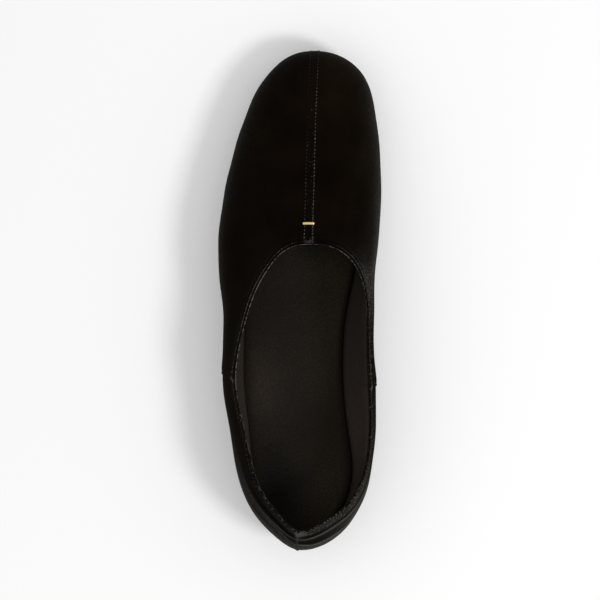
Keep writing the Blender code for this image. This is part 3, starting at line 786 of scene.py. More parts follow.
def pile_group():
    """Velvet pile: fine fibres, soft patches where the nap lies another way, and pale specks where the Rub
    mask is up, for laid-over pile and for painted glints and highlights.
    """
    if "Velvet pile" in bpy.data.node_groups:
        return bpy.data.node_groups["Velvet pile"]
    tree, start, end = new_group(
        "Velvet pile",
        (
            ("Pile", "NodeSocketColor", (0.004, 0.003, 0.002, 1)),
            ("Rubbed", "NodeSocketColor", (0.04, 0.04, 0.03, 1)),
            ("Rub", "NodeSocketFloat", 0.0),
        ),
        (("Colour", "NodeSocketColor"), ("Height", "NodeSocketFloat")),
    )
    fibre, clump = noise(tree, scale=2600.0), noise(tree, scale=900.0)
    stroked = ranged(tree, noise(tree, scale=45.0, detail=3.0), between=(0.35, 0.75), to=(0.8, 1.5))
    rub_spread, clump_height = 0.22, 0.8
    cover = maths(tree, "MULTIPLY_ADD", start["Rub"], rub_spread, noise(tree, scale=1200.0, detail=1.0))
    specks = ranged(tree, cover, between=(0.69, 0.79))
    laid = product(tree, specks, ranged(tree, start["Rub"], between=(0.0, 0.3)))
    colour = mixed_colour(tree, laid, shaded(tree, start["Pile"], stroked), start["Rubbed"])
    plug(tree, end, Colour=colour, Height=maths(tree, "MULTIPLY_ADD", clump, clump_height, fibre))
    return tree


def grain_group():
    """Leather grain: small cells with creases between them, and faint mottling."""
    if "Leather grain" in bpy.data.node_groups:
        return bpy.data.node_groups["Leather grain"]
    tree, start, end = new_group(
        "Leather grain",
        (
            ("Leather", "NodeSocketColor", (0.015, 0.013, 0.011, 1)),
            ("Cells", "NodeSocketFloat", 900.0),
            ("Mottling", "NodeSocketFloat", 0.35),
            ("Roughness", "NodeSocketFloat", 0.5),
        ),
        (("Colour", "NodeSocketColor"), ("Roughness", "NodeSocketFloat"), ("Height", "NodeSocketFloat")),
    )
    wander_reach, noise_middle, fleck_share, fleck_height = 0.7 * MM, 0.5, 0.8, 0.5
    swirl = noise(tree, scale=700.0, detail=1.0, roughness=0.5, output="Color")
    places = {"_0": object_place(tree), "_1": shaded(tree, swirl, wander_reach)}
    bent = node(tree, "ShaderNodeVectorMath", {"operation": "ADD"}, **places).outputs[0]
    to_edge = {"feature": "DISTANCE_TO_EDGE"}
    cells = node(tree, "ShaderNodeTexVoronoi", to_edge, Vector=bent, Scale=start["Cells"]).outputs
    crease = ranged(tree, cells["Distance"], between=(0.0, 0.22))
    cloud = maths(tree, "SUBTRACT", noise(tree, scale=60.0, detail=4.0, roughness=0.6), noise_middle)
    fleck = maths(tree, "SUBTRACT", noise(tree, scale=1300.0, detail=1.0), noise_middle)
    both = maths(tree, "MULTIPLY_ADD", fleck, fleck_share, cloud)
    shift = maths(tree, "MULTIPLY_ADD", both, start["Mottling"], 1.0)
    shade = product(tree, shift, ranged(tree, crease, between=(0.0, 1.0), to=(0.7, 1.05)))
    plug(
        tree,
        end,
        Colour=shaded(tree, start["Leather"], shade),
        Roughness=product(tree, start["Roughness"], shift),
        Height=maths(tree, "MULTIPLY_ADD", fleck, fleck_height, crease),
    )
    return tree


def new_material(name):
    """A material with its node tree and its Principled shader."""
    material = bpy.data.materials.new(name)
    material.use_nodes = True
    return material, material.node_tree, material.node_tree.nodes["Principled BSDF"]


def opaque(colour):
    """A colour with full alpha."""
    return (*colour, 1.0)


def velvet_material():
    """Black velvet: almost no light back end on, and painted paler where the pile is seen from the side, a
    painted sheen.
    """
    material, tree, shader = new_material("black_velvet")
    tints, paling = colours(), 2.2
    facing = node(tree, "ShaderNodeLayerWeight", Blend=0.5).outputs["Facing"]
    # Painted glints: pale specks shown where the wall is seen from the side, laid in with the laid-over pile
    glint = product(tree, mask(tree, "glint"), ranged(tree, facing, between=(0.25, 0.6)))
    rub = maths(tree, "MAXIMUM", mask(tree, "rubbed"), glint)
    sockets = {"Rub": rub, "Pile": opaque(tints.velvet), "Rubbed": opaque(tints.rubbed)}
    pile = node(tree, "ShaderNodeGroup", {"node_tree": pile_group()}, **sockets).outputs
    # Painted sheen: the pile is painted paler the more it is seen from the side, as the aslant mask says
    uneven = ranged(tree, noise(tree, scale=1100.0), between=(0.35, 0.70), to=(0.6, 1.6))
    aslant = product(tree, maths(tree, "POWER", facing, paling), mask(tree, "aslant"), uneven)
    # Painted sheen patch on the inner toe, times the nap's own paler and darker patches
    end_on = shaded(tree, pile["Colour"], mask(tree, "stroked"))
    plug(
        tree,
        shader,
        Base_Color=mixed_colour(tree, aslant, end_on, opaque(tints.aslant)),
        Normal=bump_normal(tree, pile["Height"], strength=0.35, distance=0.15 * MM),
        Roughness=1.0,
        Specular_IOR_Level=0.0,
        Sheen_Weight=0.006,
        Sheen_Roughness=0.46,
        Sheen_Tint=(1.0, 0.97, 0.93, 1.0),
    )
    return material


def lit_material(name, colour, roughness, specular):
    """Fine fibre or thread, painted brighter by the light number that each point of the piece carries: a
    painted highlight.
    """
    material, tree, shader = new_material(name)
    twist = ranged(tree, noise(tree, scale=3500.0, detail=1.0), between=(0.3, 0.7), to=(0.6, 1.4))
    lit = shaded(tree, tuple(colour), product(tree, mask(tree, "light"), twist))
    plug(tree, shader, Base_Color=lit, Roughness=roughness, Specular_IOR_Level=specular)
    return material


def grained(tree, shader, colour, cells, roughness, specular, bump, mottling=0.35):
    """Feed a shader with leather grain in colour, roughness and bump, and hand back the colour."""
    sockets = {"Cells": cells, "Roughness": roughness, "Mottling": mottling, "Leather": colour}
    grain = node(tree, "ShaderNodeGroup", {"node_tree": grain_group()}, **sockets).outputs
    normal = bump_normal(tree, grain["Height"], strength=bump, distance=0.12 * MM)
    plug(tree, shader, Base_Color=grain["Colour"], Roughness=grain["Roughness"], Normal=normal)
    plug(tree, shader, Specular_IOR_Level=specular)
    return grain["Colour"]


def leather_material(name, colour, **finish):
    """Plain dark leather with the grain's finish."""
    material, tree, shader = new_material(name)
    grained(tree, shader, opaque(colour), **finish)
    return material


def sock_material():
    """Sock leather that turns tan towards the inner side, with painted light and shade where its points say
    so, and painted shade along its edge.
    """
    material, tree, shader = new_material("sock_leather")
    tints = colours()
    leather = mixed_colour(tree, mask(tree, "tan"), opaque(tints.sock), opaque(tints.sock_tan))
    leather = shaded(tree, leather, mask(tree, "worn"))
    leather = mixed_colour(tree, mask(tree, "grime"), leather, opaque(tints.grime))
    grained(tree, shader, leather, cells=640.0, roughness=0.46, specular=0.05, bump=0.8)
    return material


def lining_material():
    """Lining leather, painted paler or darker by place as light and shade, whose turned edge is dark with
    velvet and painted pale as a highlight where its light is up.
    """
    material, tree, shader = new_material("lining_leather")
    tints = colours()
    finish = {"cells": 1400.0, "roughness": 0.55, "specular": 0.05, "bump": 0.05, "mottling": 0.12}
    leather = shaded(tree, grained(tree, shader, opaque(tints.lining), **finish), mask(tree, "worn"))
    uneven = ranged(tree, noise(tree, scale=650.0, detail=1.0), between=(0.43, 0.60), to=(0.1, 1.6))
    pale = product(tree, mask(tree, "light"), uneven)
    edge = mixed_colour(tree, pale, opaque(tints.velvet), opaque(tints.edge))
    plug(tree, shader, Base_Color=mixed_colour(tree, mask(tree, "edge"), leather, edge))
    return material


def gold_material():
    """Polished gold with faint rubbing marks."""
    material, tree, shader = new_material("polished_gold")
    rough = ranged(tree, noise(tree, scale=1200.0, detail=3.0), between=(0.3, 0.7), to=(0.16, 0.34))
    plug(tree, shader, Base_Color=opaque(colours().gold), Metallic=1.0, Roughness=rough)
    return material


class SLIPPER_OT_velvet(bpy.types.Operator):
    """Make the velvet of the upper: its outer face, a rounded topline and the backing behind it"""

    bl_idname = "slipper.velvet"
    bl_label = "Velvet"

    backing_rows = 9
    rim_rows, rim_fullness = 7, 0.9
    # Painted highlight across the rim, paler towards its inner lip
    rim_highlight = np.linspace(-0.5, 1.0, rim_rows).clip(0.0)

    def execute(self, context):
        wall = Wall()
        backing = wall.back_face(sizes().velvet, self.backing_rows)
        rim = wall.rim(wall.points[0], backing[0], self.rim_rows, self.rim_fullness)
        # The rim's pale specks: painted highlight by the edge table, or rubbing and painted highlight by the
        # rim table
        edge = np.maximum(wall.by_rows(EDGE_HIGHLIGHT) * self.rim_highlight[:, None], wall.by_rows(RIM_RUB_AND_HIGHLIGHT))
        masks = {"rubbed": np.concatenate([wall.rubbed()[::-1], edge, np.zeros(backing.shape[:2])])}
        # Painted sheen, painted glints and the painted sheen patch, carried over rim and backing
        for name, face in (("aslant", wall.aslant()), ("glint", wall.glint()), ("stroked", wall.stroked())):
            behind = np.broadcast_to(face[0], (len(rim) + len(backing), len(wall.places)))
            masks[name] = np.concatenate([face[::-1], behind])
        grid = np.concatenate([wall.points[::-1], rim, backing])
        mesh = mesh_from_grid("velvet", grid, masks, closed_rows=True)
        add_piece("velvet", mesh, velvet_material(), ("upper",))
        return {"FINISHED"}


class SLIPPER_OT_lining(bpy.types.Operator):
    """Make the leather lining inside the wall, rounded at the topline and run in to the insole below"""

    bl_idname = "slipper.lining"
    bl_label = "Lining"

    face_rows, crowding = 46, 1.3
    back_rows, air = 9, 0.05 * MM
    rim_rows, rim_fullness = 7, 1.1
    # Painted highlight across the turned edge, paler towards the velvet
    rim_highlight = np.linspace(1.4, 0.2, rim_rows).clip(0.0, 1.0)
    turned_end, turned_ramp = 0.2 * MM, 0.4 * MM
    # Where the face meets the insole: how far it runs in, how far over the insole and how high
    run_in = 9.0 * MM
    outer_over, outer_lift, inner_lift = 0.3 * MM, 3.2 * MM, 2.65 * MM
    # Painted light and shade on the inner side by height above the foot: darker all over and painted shade at
    # the foot, paler above and in a strip behind the side seam as painted light
    inner_dark = 0.22
    low_dark, low_end = 0.2, 3.0 * MM
    high_pale, high_from, high_ramp = 0.85, 4.0 * MM, 14.0 * MM
    strip_pale, strip_from, strip_ramp, strip_ease = 0.15, 8.5 * MM, 1.5 * MM, 1.0 * MM

    def execute(self, context):
        wall = Wall()
        length, inner_side = wall.depth[-1], wall.inner_side()
        depth = np.linspace(0.0, 1.0, self.face_rows)[:, None] ** self.crowding * length
        face = self.face(wall, depth, inner_side)
        back = wall.back_face(sizes().velvet + self.air, self.back_rows)
        rim = wall.rim(back[0], face[0], self.rim_rows, self.rim_fullness)
        turned = np.ones((len(back) + len(rim), len(wall.places)))
        light = np.concatenate([np.zeros(len(back)), self.rim_highlight, np.zeros(len(face))])
        masks = {
            "edge": np.concatenate([turned, band(depth, self.turned_end, self.turned_ramp)]),
            "light": light[:, None] * wall.by_rows(EDGE_HIGHLIGHT),
            "worn": np.concatenate([turned, self.worn(wall, length - depth, inner_side)]),
        }
        mesh = mesh_from_grid("lining", np.concatenate([back[::-1], rim, face]), masks, closed_rows=True)
        add_piece("lining", mesh, lining_material())
        return {"FINISHED"}

    def face(self, wall, depth, inner_side):
        """The wall moved inward by its thickness, and drawn at its foot to where it meets the insole."""
        face = wall.behind(depth, sizes().wall)
        lift = self.outer_lift + (self.inner_lift - self.outer_lift) * inner_side
        over = self.outer_over * (1.0 - inner_side)
        meet = wall.foot(sizes().wall + over + wall.last.waist(wall.places), lift)
        near_insole = eased(1.0 - (wall.depth[-1] - depth) / self.run_in)[:, :, None]
        return face + (meet - face[-1]) * near_insole

    def worn(self, wall, above_foot, inner_side):
        """Painted light and shade on the face, by height above the foot on the inner side and by place all
        round.
        """
        low = 1.0 - eased(above_foot / self.low_end)
        high = eased((above_foot - self.high_from) / self.high_ramp)
        behind_seam = eased((wall.last.places[ROW_SEAM_INNER] - wall.places) / self.strip_ease)
        strip = eased((above_foot - self.strip_from) / self.strip_ramp) * behind_seam
        change = self.high_pale * high + self.strip_pale * strip - self.low_dark * low - self.inner_dark
        return (1.0 + inner_side * change) * wall.by_rows(LINING_PAINTED_SHADING)


def sole_ring(last, margin, columns, draw_in=np.zeros_like):
    """The feather edge moved out by a margin, and the plan direction into the shoe at each of its points.

    Columns run from the heel back along the inner side to the toe, then home, in pairs across the shoe. Their
    places are half even and half a cosine, closer at heel and toe. draw_in takes places, and says how much
    less the margin is there.
    """
    half = columns // 2
    toe = last.places[ROW_TOE_TIP]
    even = np.arange(half) / half
    crowded = 0.5 * even + 0.25 * (1.0 - np.cos(np.pi * even))
    places = np.concatenate([toe * crowded, toe + (last.girth - toe) * crowded])
    found = last.section(places)
    return found["feather"] - found["inward"] * (margin - draw_in(places))[:, None], found["inward"]


def slab_grid(ring, low, high, rounding, reach, rows, edge_rows=9):
    """A sheet with round edges as rings: out from the spine underneath, round the edge, and back on top.

    The spine lies midway between each point of the ring and the one across the shoe from it. The edge is a
    quarter of an ellipse above and below: rounding is its height, and reach its width by column. ring is what
    sole_ring gives, low takes y, and high takes the plan and the share of the way to the edge.
    """
    edge, inward = ring
    shares = np.linspace(0.0, 1.0, rows)
    way_in = inward * np.reshape(reach, (-1, 1))
    inner = edge + way_in
    spine = 0.5 * (inner + inner[-np.arange(len(inner)) % len(inner)])
    under = spine + (inner - spine) * shares[:, None, None]
    turn = np.linspace(0.0, 0.5 * math.pi, edge_rows)[1:]
    side = inner - way_in * np.sin(turn)[:, None, None]
    drop = rounding * (1.0 - np.cos(turn))[:, None]
    bottom = np.dstack([under, low(under[..., 1])])
    lower = np.dstack([side, low(side[..., 1]) + drop])
    upper = np.dstack([side, high(side, np.ones(len(turn))) - drop])[::-1]
    top = np.dstack([under, high(under, shares)])[::-1]
    return np.concatenate([bottom, lower, upper, top])


class SLIPPER_OT_insole(bpy.types.Operator):
    """Make the leather-covered insole"""

    bl_idname = "slipper.insole"
    bl_label = "Insole"

    columns, rows = 480, 40
    edge_gap = 0.1 * MM
    rounding, outer_reach, inner_reach = 0.5 * MM, 0.5 * MM, 1.6 * MM
    cup, cup_power = 0.3 * MM, 6
    # Dents of wear: their depth, and in millimetres how far along and across each runs for a radian
    dent, dent_across, dent_along, dent_shift = 0.5 * MM, 21.0, 37.0, 0.4
    # How sharply the inner side passes into the outer one at heel and toe
    side_turn = 3.0
    # Where across the shoe the tan sets in, and where it is full
    tan_from, tan_to = -8.0 * MM, 20.0 * MM
    # Soft ovals of painted light and shade in millimetres: middle, half sizes, and how much paler (darker
    # where negative)
    worn_patches = (
        (-19.0, -42.0, 9.0, 18.0, 0.70),  # painted highlight under the outer waist
        (18.0, 2.0, 12.0, 32.0, 0.75),  # painted light along the inner ball, which the inner wall shades
        (14.0, -98.0, 13.0, 22.0, 0.85),  # painted light on the inner side of the heel seat
        (-13.0, -94.0, 15.0, 25.0, -0.62),  # painted shadow on its outer side
        (5.0, -61.0, 13.0, 17.0, -0.38),  # painted shade ahead of it
        (13.0, 18.0, 15.0, 10.0, 0.55),  # painted light under the throat
    )
    # Painted shade along the edge, where the wall meets the insole: how much, and how far it reaches in,
    # farther beside the heel on the inner side
    outer_grime, outer_grime_reach = 0.8, 5.0 * MM
    inner_grime, inner_grime_from, inner_grime_reach = 0.95, 0.9 * MM, 2.6 * MM
    heel_grime_y, heel_grime_half, heel_grime_more = -72.0 * MM, 24.0 * MM, 0.7

    def execute(self, context):
        last = Last()

        def top(plan, share):
            """Level above the seat, turned up a little at the edge, with shallow dents from wear."""
            share = share[:, None]
            x, y = plan[..., 0] / MM, plan[..., 1] / MM
            dents = self.dent * np.sin(x / self.dent_across + self.dent_shift) * np.sin(y / self.dent_along)
            dents = dents * (1.0 - share**2)
            return last.seat(plan[..., 1]) + sizes().insole + self.cup * share**self.cup_power + dents

        ring = sole_ring(last, -sizes().wall - self.edge_gap, self.columns, last.waist)
        round_shoe = np.sin(2.0 * math.pi * np.arange(self.columns) / self.columns)
        inner = eased(self.side_turn * round_shoe)
        reach = self.outer_reach + (self.inner_reach - self.outer_reach) * inner
        grid = slab_grid(ring, last.seat, top, self.rounding, reach, self.rows)
        tan = eased((grid[..., 0] - self.tan_from) / (self.tan_to - self.tan_from))
        masks = {"tan": tan, "worn": self.worn(grid), "grime": self.grime(grid, ring[0], inner)}
        mesh = mesh_from_grid("insole", grid, masks)
        add_piece("sock_insole", mesh, sock_material(), ("insole",))
        return {"FINISHED"}

    def worn(self, grid):
        """Painted light and shade on the sock: how much paler or darker it is, as soft oval patches."""
        out = np.ones(grid.shape[:2])
        for x, y, half_x, half_y, change in self.worn_patches:
            away = np.hypot((grid[..., 0] / MM - x) / half_x, (grid[..., 1] / MM - y) / half_y)
            out = out + change * np.exp(-(away**2))
        return out

    def grime(self, grid, edge, inner):
        """Painted shade along the sock's edge, where the wall meets it: most at the edge, fading inwards,
        with other reaches on the two sides.
        """
        away = np.linalg.norm(grid[..., 0:2] - edge, axis=2)
        grime = self.outer_grime * (1.0 - inner) * (1.0 - eased(away / self.outer_grime_reach))
        behind = np.exp(-(((grid[..., 1] - self.heel_grime_y) / self.heel_grime_half) ** 2))
        reach = self.inner_grime_reach * (1.0 + self.heel_grime_more * behind)
        return grime + self.inner_grime * inner * (1.0 - eased((away - self.inner_grime_from) / reach))


class SLIPPER_OT_sole(bpy.types.Operator):
    """Make the outsole and the heel lifts"""

    bl_idname = "slipper.sole"
    bl_label = "Outsole and heel"

    columns, rows = 480, 30
    margin = 1.2 * MM
    rounding = 0.7 * MM
    breast, breast_sag = -62.0 * MM, 4.0 * MM
    head_inset, foot_inset = 0.6 * MM, 1.6 * MM
    fine_columns, rear_points, breast_points = 4 * columns, 160, 60
    lifts, lift_rows, sharp_edge = 3, 40, 40.0
    joint_half, joint_depth = 0.35 * MM, 0.18 * MM
    arris, cap_shares = 0.3 * MM, (0.0, 0.5, 0.985)
    sole_finish = {"cells": 420.0, "roughness": 0.55, "specular": 0.25, "bump": 0.25}
    heel_finish = {"cells": 520.0, "roughness": 0.45, "specular": 0.3, "bump": 0.2}

    def execute(self, context):
        last = Last()
        ring = sole_ring(last, self.margin, self.columns)

        def top(plan, share):
            """The top of the outsole, the same for every share of the way to the edge."""
            return last.sole_top(plan[..., 1])

        edge = np.full(self.columns, self.rounding)
        mesh = mesh_from_grid("outsole", slab_grid(ring, last.tread, top, self.rounding, edge, self.rows))
        material = leather_material("sole_leather", colours().sole, **self.sole_finish)
        add_piece("outsole_leather", mesh, material, ("outsole",))
        mesh = mesh_from_grid("heel", self.heel_grid(last), sharp_degrees=self.sharp_edge)
        material = leather_material("heel_leather", colours().heel, **self.heel_finish)
        add_piece("heel_lifts", mesh, material, ("heel",))
        return {"FINISHED"}

    def heel_ring(self, last, margin):
        """The rear of the sole's edge up to the breast, closed by a shallow curve across."""
        edge = sole_ring(last, margin, self.fine_columns)[0]
        edge = np.roll(edge, len(edge) // 2, axis=0)
        rear = edge[edge[:, 1] < self.breast]
        place = np.concatenate([[0.0], np.cumsum(np.linalg.norm(np.diff(rear, axis=0), axis=1))])
        wanted = np.linspace(0.0, place[-1], self.rear_points)
        rear = np.column_stack([np.interp(wanted, place, rear[:, k]) for k in range(2)])
        share = np.linspace(0.0, 1.0, self.breast_points + 2)[1:-1, None]
        breast = rear[-1] * (1 - share) + rear[0] * share
        breast[:, 1] -= self.breast_sag * np.sin(np.pi * share[:, 0])
        return np.concatenate([rear, breast])

    def heel_grid(self, last):
        """Rings from the middle of the tread out to its edge, up the lifts and in to the middle on top."""
        foot = self.heel_ring(last, self.margin - self.foot_inset)
        head = self.heel_ring(last, self.margin - self.head_inset)
        middle = foot.mean(axis=0)
        high = sizes().heel_height - sizes().gap
        z = np.linspace(self.arris, high - self.arris, self.lift_rows)[:, None]
        joints = high / self.lifts * np.arange(1, self.lifts)
        groove = np.sum([band(z - joint, 0.0, self.joint_half) for joint in joints], axis=0)
        side = foot + (head - foot) * (z / high)[:, :, None]
        side = side + unit(middle - side) * (groove * self.joint_depth)[:, :, None]

        def cap(outline, shares, height):
            """Rings at one height, at shares of the way from the middle to an outline."""
            plan = middle + (outline - middle) * np.array(shares)[:, None, None]
            return np.dstack([plan, np.full(plan.shape[:2], height)])

        walls = np.dstack([side, np.broadcast_to(z, side.shape[:2])])
        bottom, top = cap(foot, self.cap_shares, 0.0), cap(head, self.cap_shares[::-1], high)
        return np.concatenate([bottom, walls, top])


class SLIPPER_OT_stitching(bpy.types.Operator):
    """Make the topstitching round the collar, along the toe seam and on the side seams with their tacks"""

    bl_idname = "slipper.stitching"
    bl_label = "Stitching"

    fill, collar_pitch, fine_places = 0.62, 0.6, 4000
    half_width, half_height, taper = 0.22 * MM, 0.18 * MM, 0.92
    raise_middle, sink_ends = 0.05 * MM, 0.22 * MM
    rings, sides = 7, 8
    # An end with eight corners is closed by three faces
    end_faces = np.array([(0, 1, 2, 7), (7, 2, 3, 6), (6, 3, 4, 5)])
    # Dim stitches lie deeper in the pile, and all differ a little in light
    sunk, clear_light = 0.2 * MM, 0.6
    uneven, uneven_ends = 0.5, (-1.5, 2.0)
    # Toe seam: its ends short of topline and feather edge, and by shares of the way how bright each row is
    # painted, a painted highlight
    seam_from, seam_short = 3.2 * MM, 4.0 * MM
    seam_shares = (0.0, 0.12, 0.28, 0.5, 0.7, 0.85, 1.0)
    seam_lights = (
        (-1.0, (3.4, 3.0, 2.6, 3.0, 1.6, 0.55, 0.45)),  # the row nearer the light
        (1.0, (2.8, 1.2, 0.9, 0.2, 0.15, 0.45, 0.45)),
    )
    # Side seams with the tack at the top of each
    lap_from, lap_short, lap_light = 3.4 * MM, 5.0 * MM, 0.1
    tack_places, tack_depth, tack_light = np.array([-0.5, 0.0, 0.5]) * MM, 1.2 * MM, 3.0

    def execute(self, context):
        wall = Wall()
        rows = [self.collar(wall), *self.toe_seam(wall), *self.side_seams(wall)]
        places, depths, downward, light = (np.concatenate(column) for column in zip(*rows))
        sunk = self.sunk * (1.0 - eased(light / self.clear_light))
        points, faces = self.grains(wall, places, depths, downward, sunk)
        draw = np.random.default_rng(sizes().seed)
        light = light * (1.0 + self.uneven * draw.normal(0.0, 1.0, len(light)).clip(*self.uneven_ends))
        masks = {"light": np.repeat(light, self.rings * self.sides)}
        mesh = mesh_from_arrays("topstitching", points, faces, masks)
        material = lit_material("black_thread", colours().thread, roughness=0.55, specular=0.2)
        add_piece("topstitching", mesh, material)
        return {"FINISHED"}

    def collar(self, wall):
        """A fine row evenly spaced along the topline, where the pile hides much of every second stitch."""
        last = wall.last
        fine = np.linspace(0.0, last.girth, self.fine_places)
        top = np.append(last.topline_place(fine[:-1]), last.top_girth)
        count = int(round(last.top_girth / (self.collar_pitch * sizes().stitch)))
        places = np.interp((np.arange(count) + 0.5) * last.top_girth / count, top, fine)
        light = last.by_rows(places, COLLAR_LIGHT)
        light[::2] *= 1.0 - last.by_rows(places[::2], COLLAR_BROKEN)
        return places, wall.collar_row(places), np.zeros(count, bool), light

    def toe_seam(self, wall):
        """Two rows down the toe seam, each as bright as its lights say by the share of the way to the toe."""
        toe = wall.last.places[ROW_TOE_TIP]
        whole = wall.whole_depth(toe)
        depth = np.arange(self.seam_from, whole - self.seam_short, sizes().stitch)
        share = depth / whole
        for side, lights in self.seam_lights:
            places = toe + wall.seam_middle(share) + side * wall.seam_row(share)
            yield places, depth, np.ones(len(depth), bool), np.interp(share, self.seam_shares, lights)

    def side_seams(self, wall):
        """A row beside each lap, and three close stitches for a tack at its top."""
        for row, forward in SIDE_SEAMS:
            place = wall.last.places[row] + forward * wall.lap_row
            depth = np.arange(self.lap_from, wall.whole_depth(place) - self.lap_short, sizes().stitch)
            count = len(depth)
            yield np.full(count, place), depth, np.ones(count, bool), np.full(count, self.lap_light)
            tack = wall.last.places[row] + self.tack_places
            count = len(tack)
            yield tack, np.full(count, self.tack_depth), np.ones(count, bool), np.full(count, self.tack_light)

    def grains(self, wall, places, depths, downward, sunk):
        """Each stitch is rings along it that swell from its ends, and the ends sink into the velvet."""
        centre, normal, along, down = wall.on(places, depths)
        centre = centre - normal * sunk[:, None]
        course = np.where(downward[:, None], down, along)
        side = np.cross(normal, course)
        t = np.linspace(-1.0, 1.0, self.rings)[None, :, None, None]
        turn = np.linspace(0.0, 2.0 * math.pi, self.sides, endpoint=False)[None, None, :, None]
        swell = np.sqrt(1.0 - self.taper * t**2)
        centre, normal, course, side = (v[:, None, None, :] for v in (centre, normal, course, side))
        points = centre + course * t * 0.5 * self.fill * sizes().stitch
        points = points + side * self.half_width * swell * np.cos(turn)
        height = self.half_height * swell * np.sin(turn) + self.raise_middle - self.sink_ends * t**2
        points = points + normal * height
        first = (np.arange(len(places)) * self.rings * self.sides)[:, None, None]
        ring = (np.arange(self.rings - 1) * self.sides)[None, :, None]
        spoke = np.arange(self.sides)[None, None, :]
        after = (spoke + 1) % self.sides
        corners = (spoke, after, after + self.sides, spoke + self.sides)
        skin = np.stack([first + ring + corner for corner in corners], axis=-1).reshape(-1, 4)
        ends = np.concatenate([self.end_faces[:, ::-1], self.end_faces + (self.rings - 1) * self.sides])
        return points.reshape(-1, 3), np.concatenate([skin, (first + ends).reshape(-1, 4)])


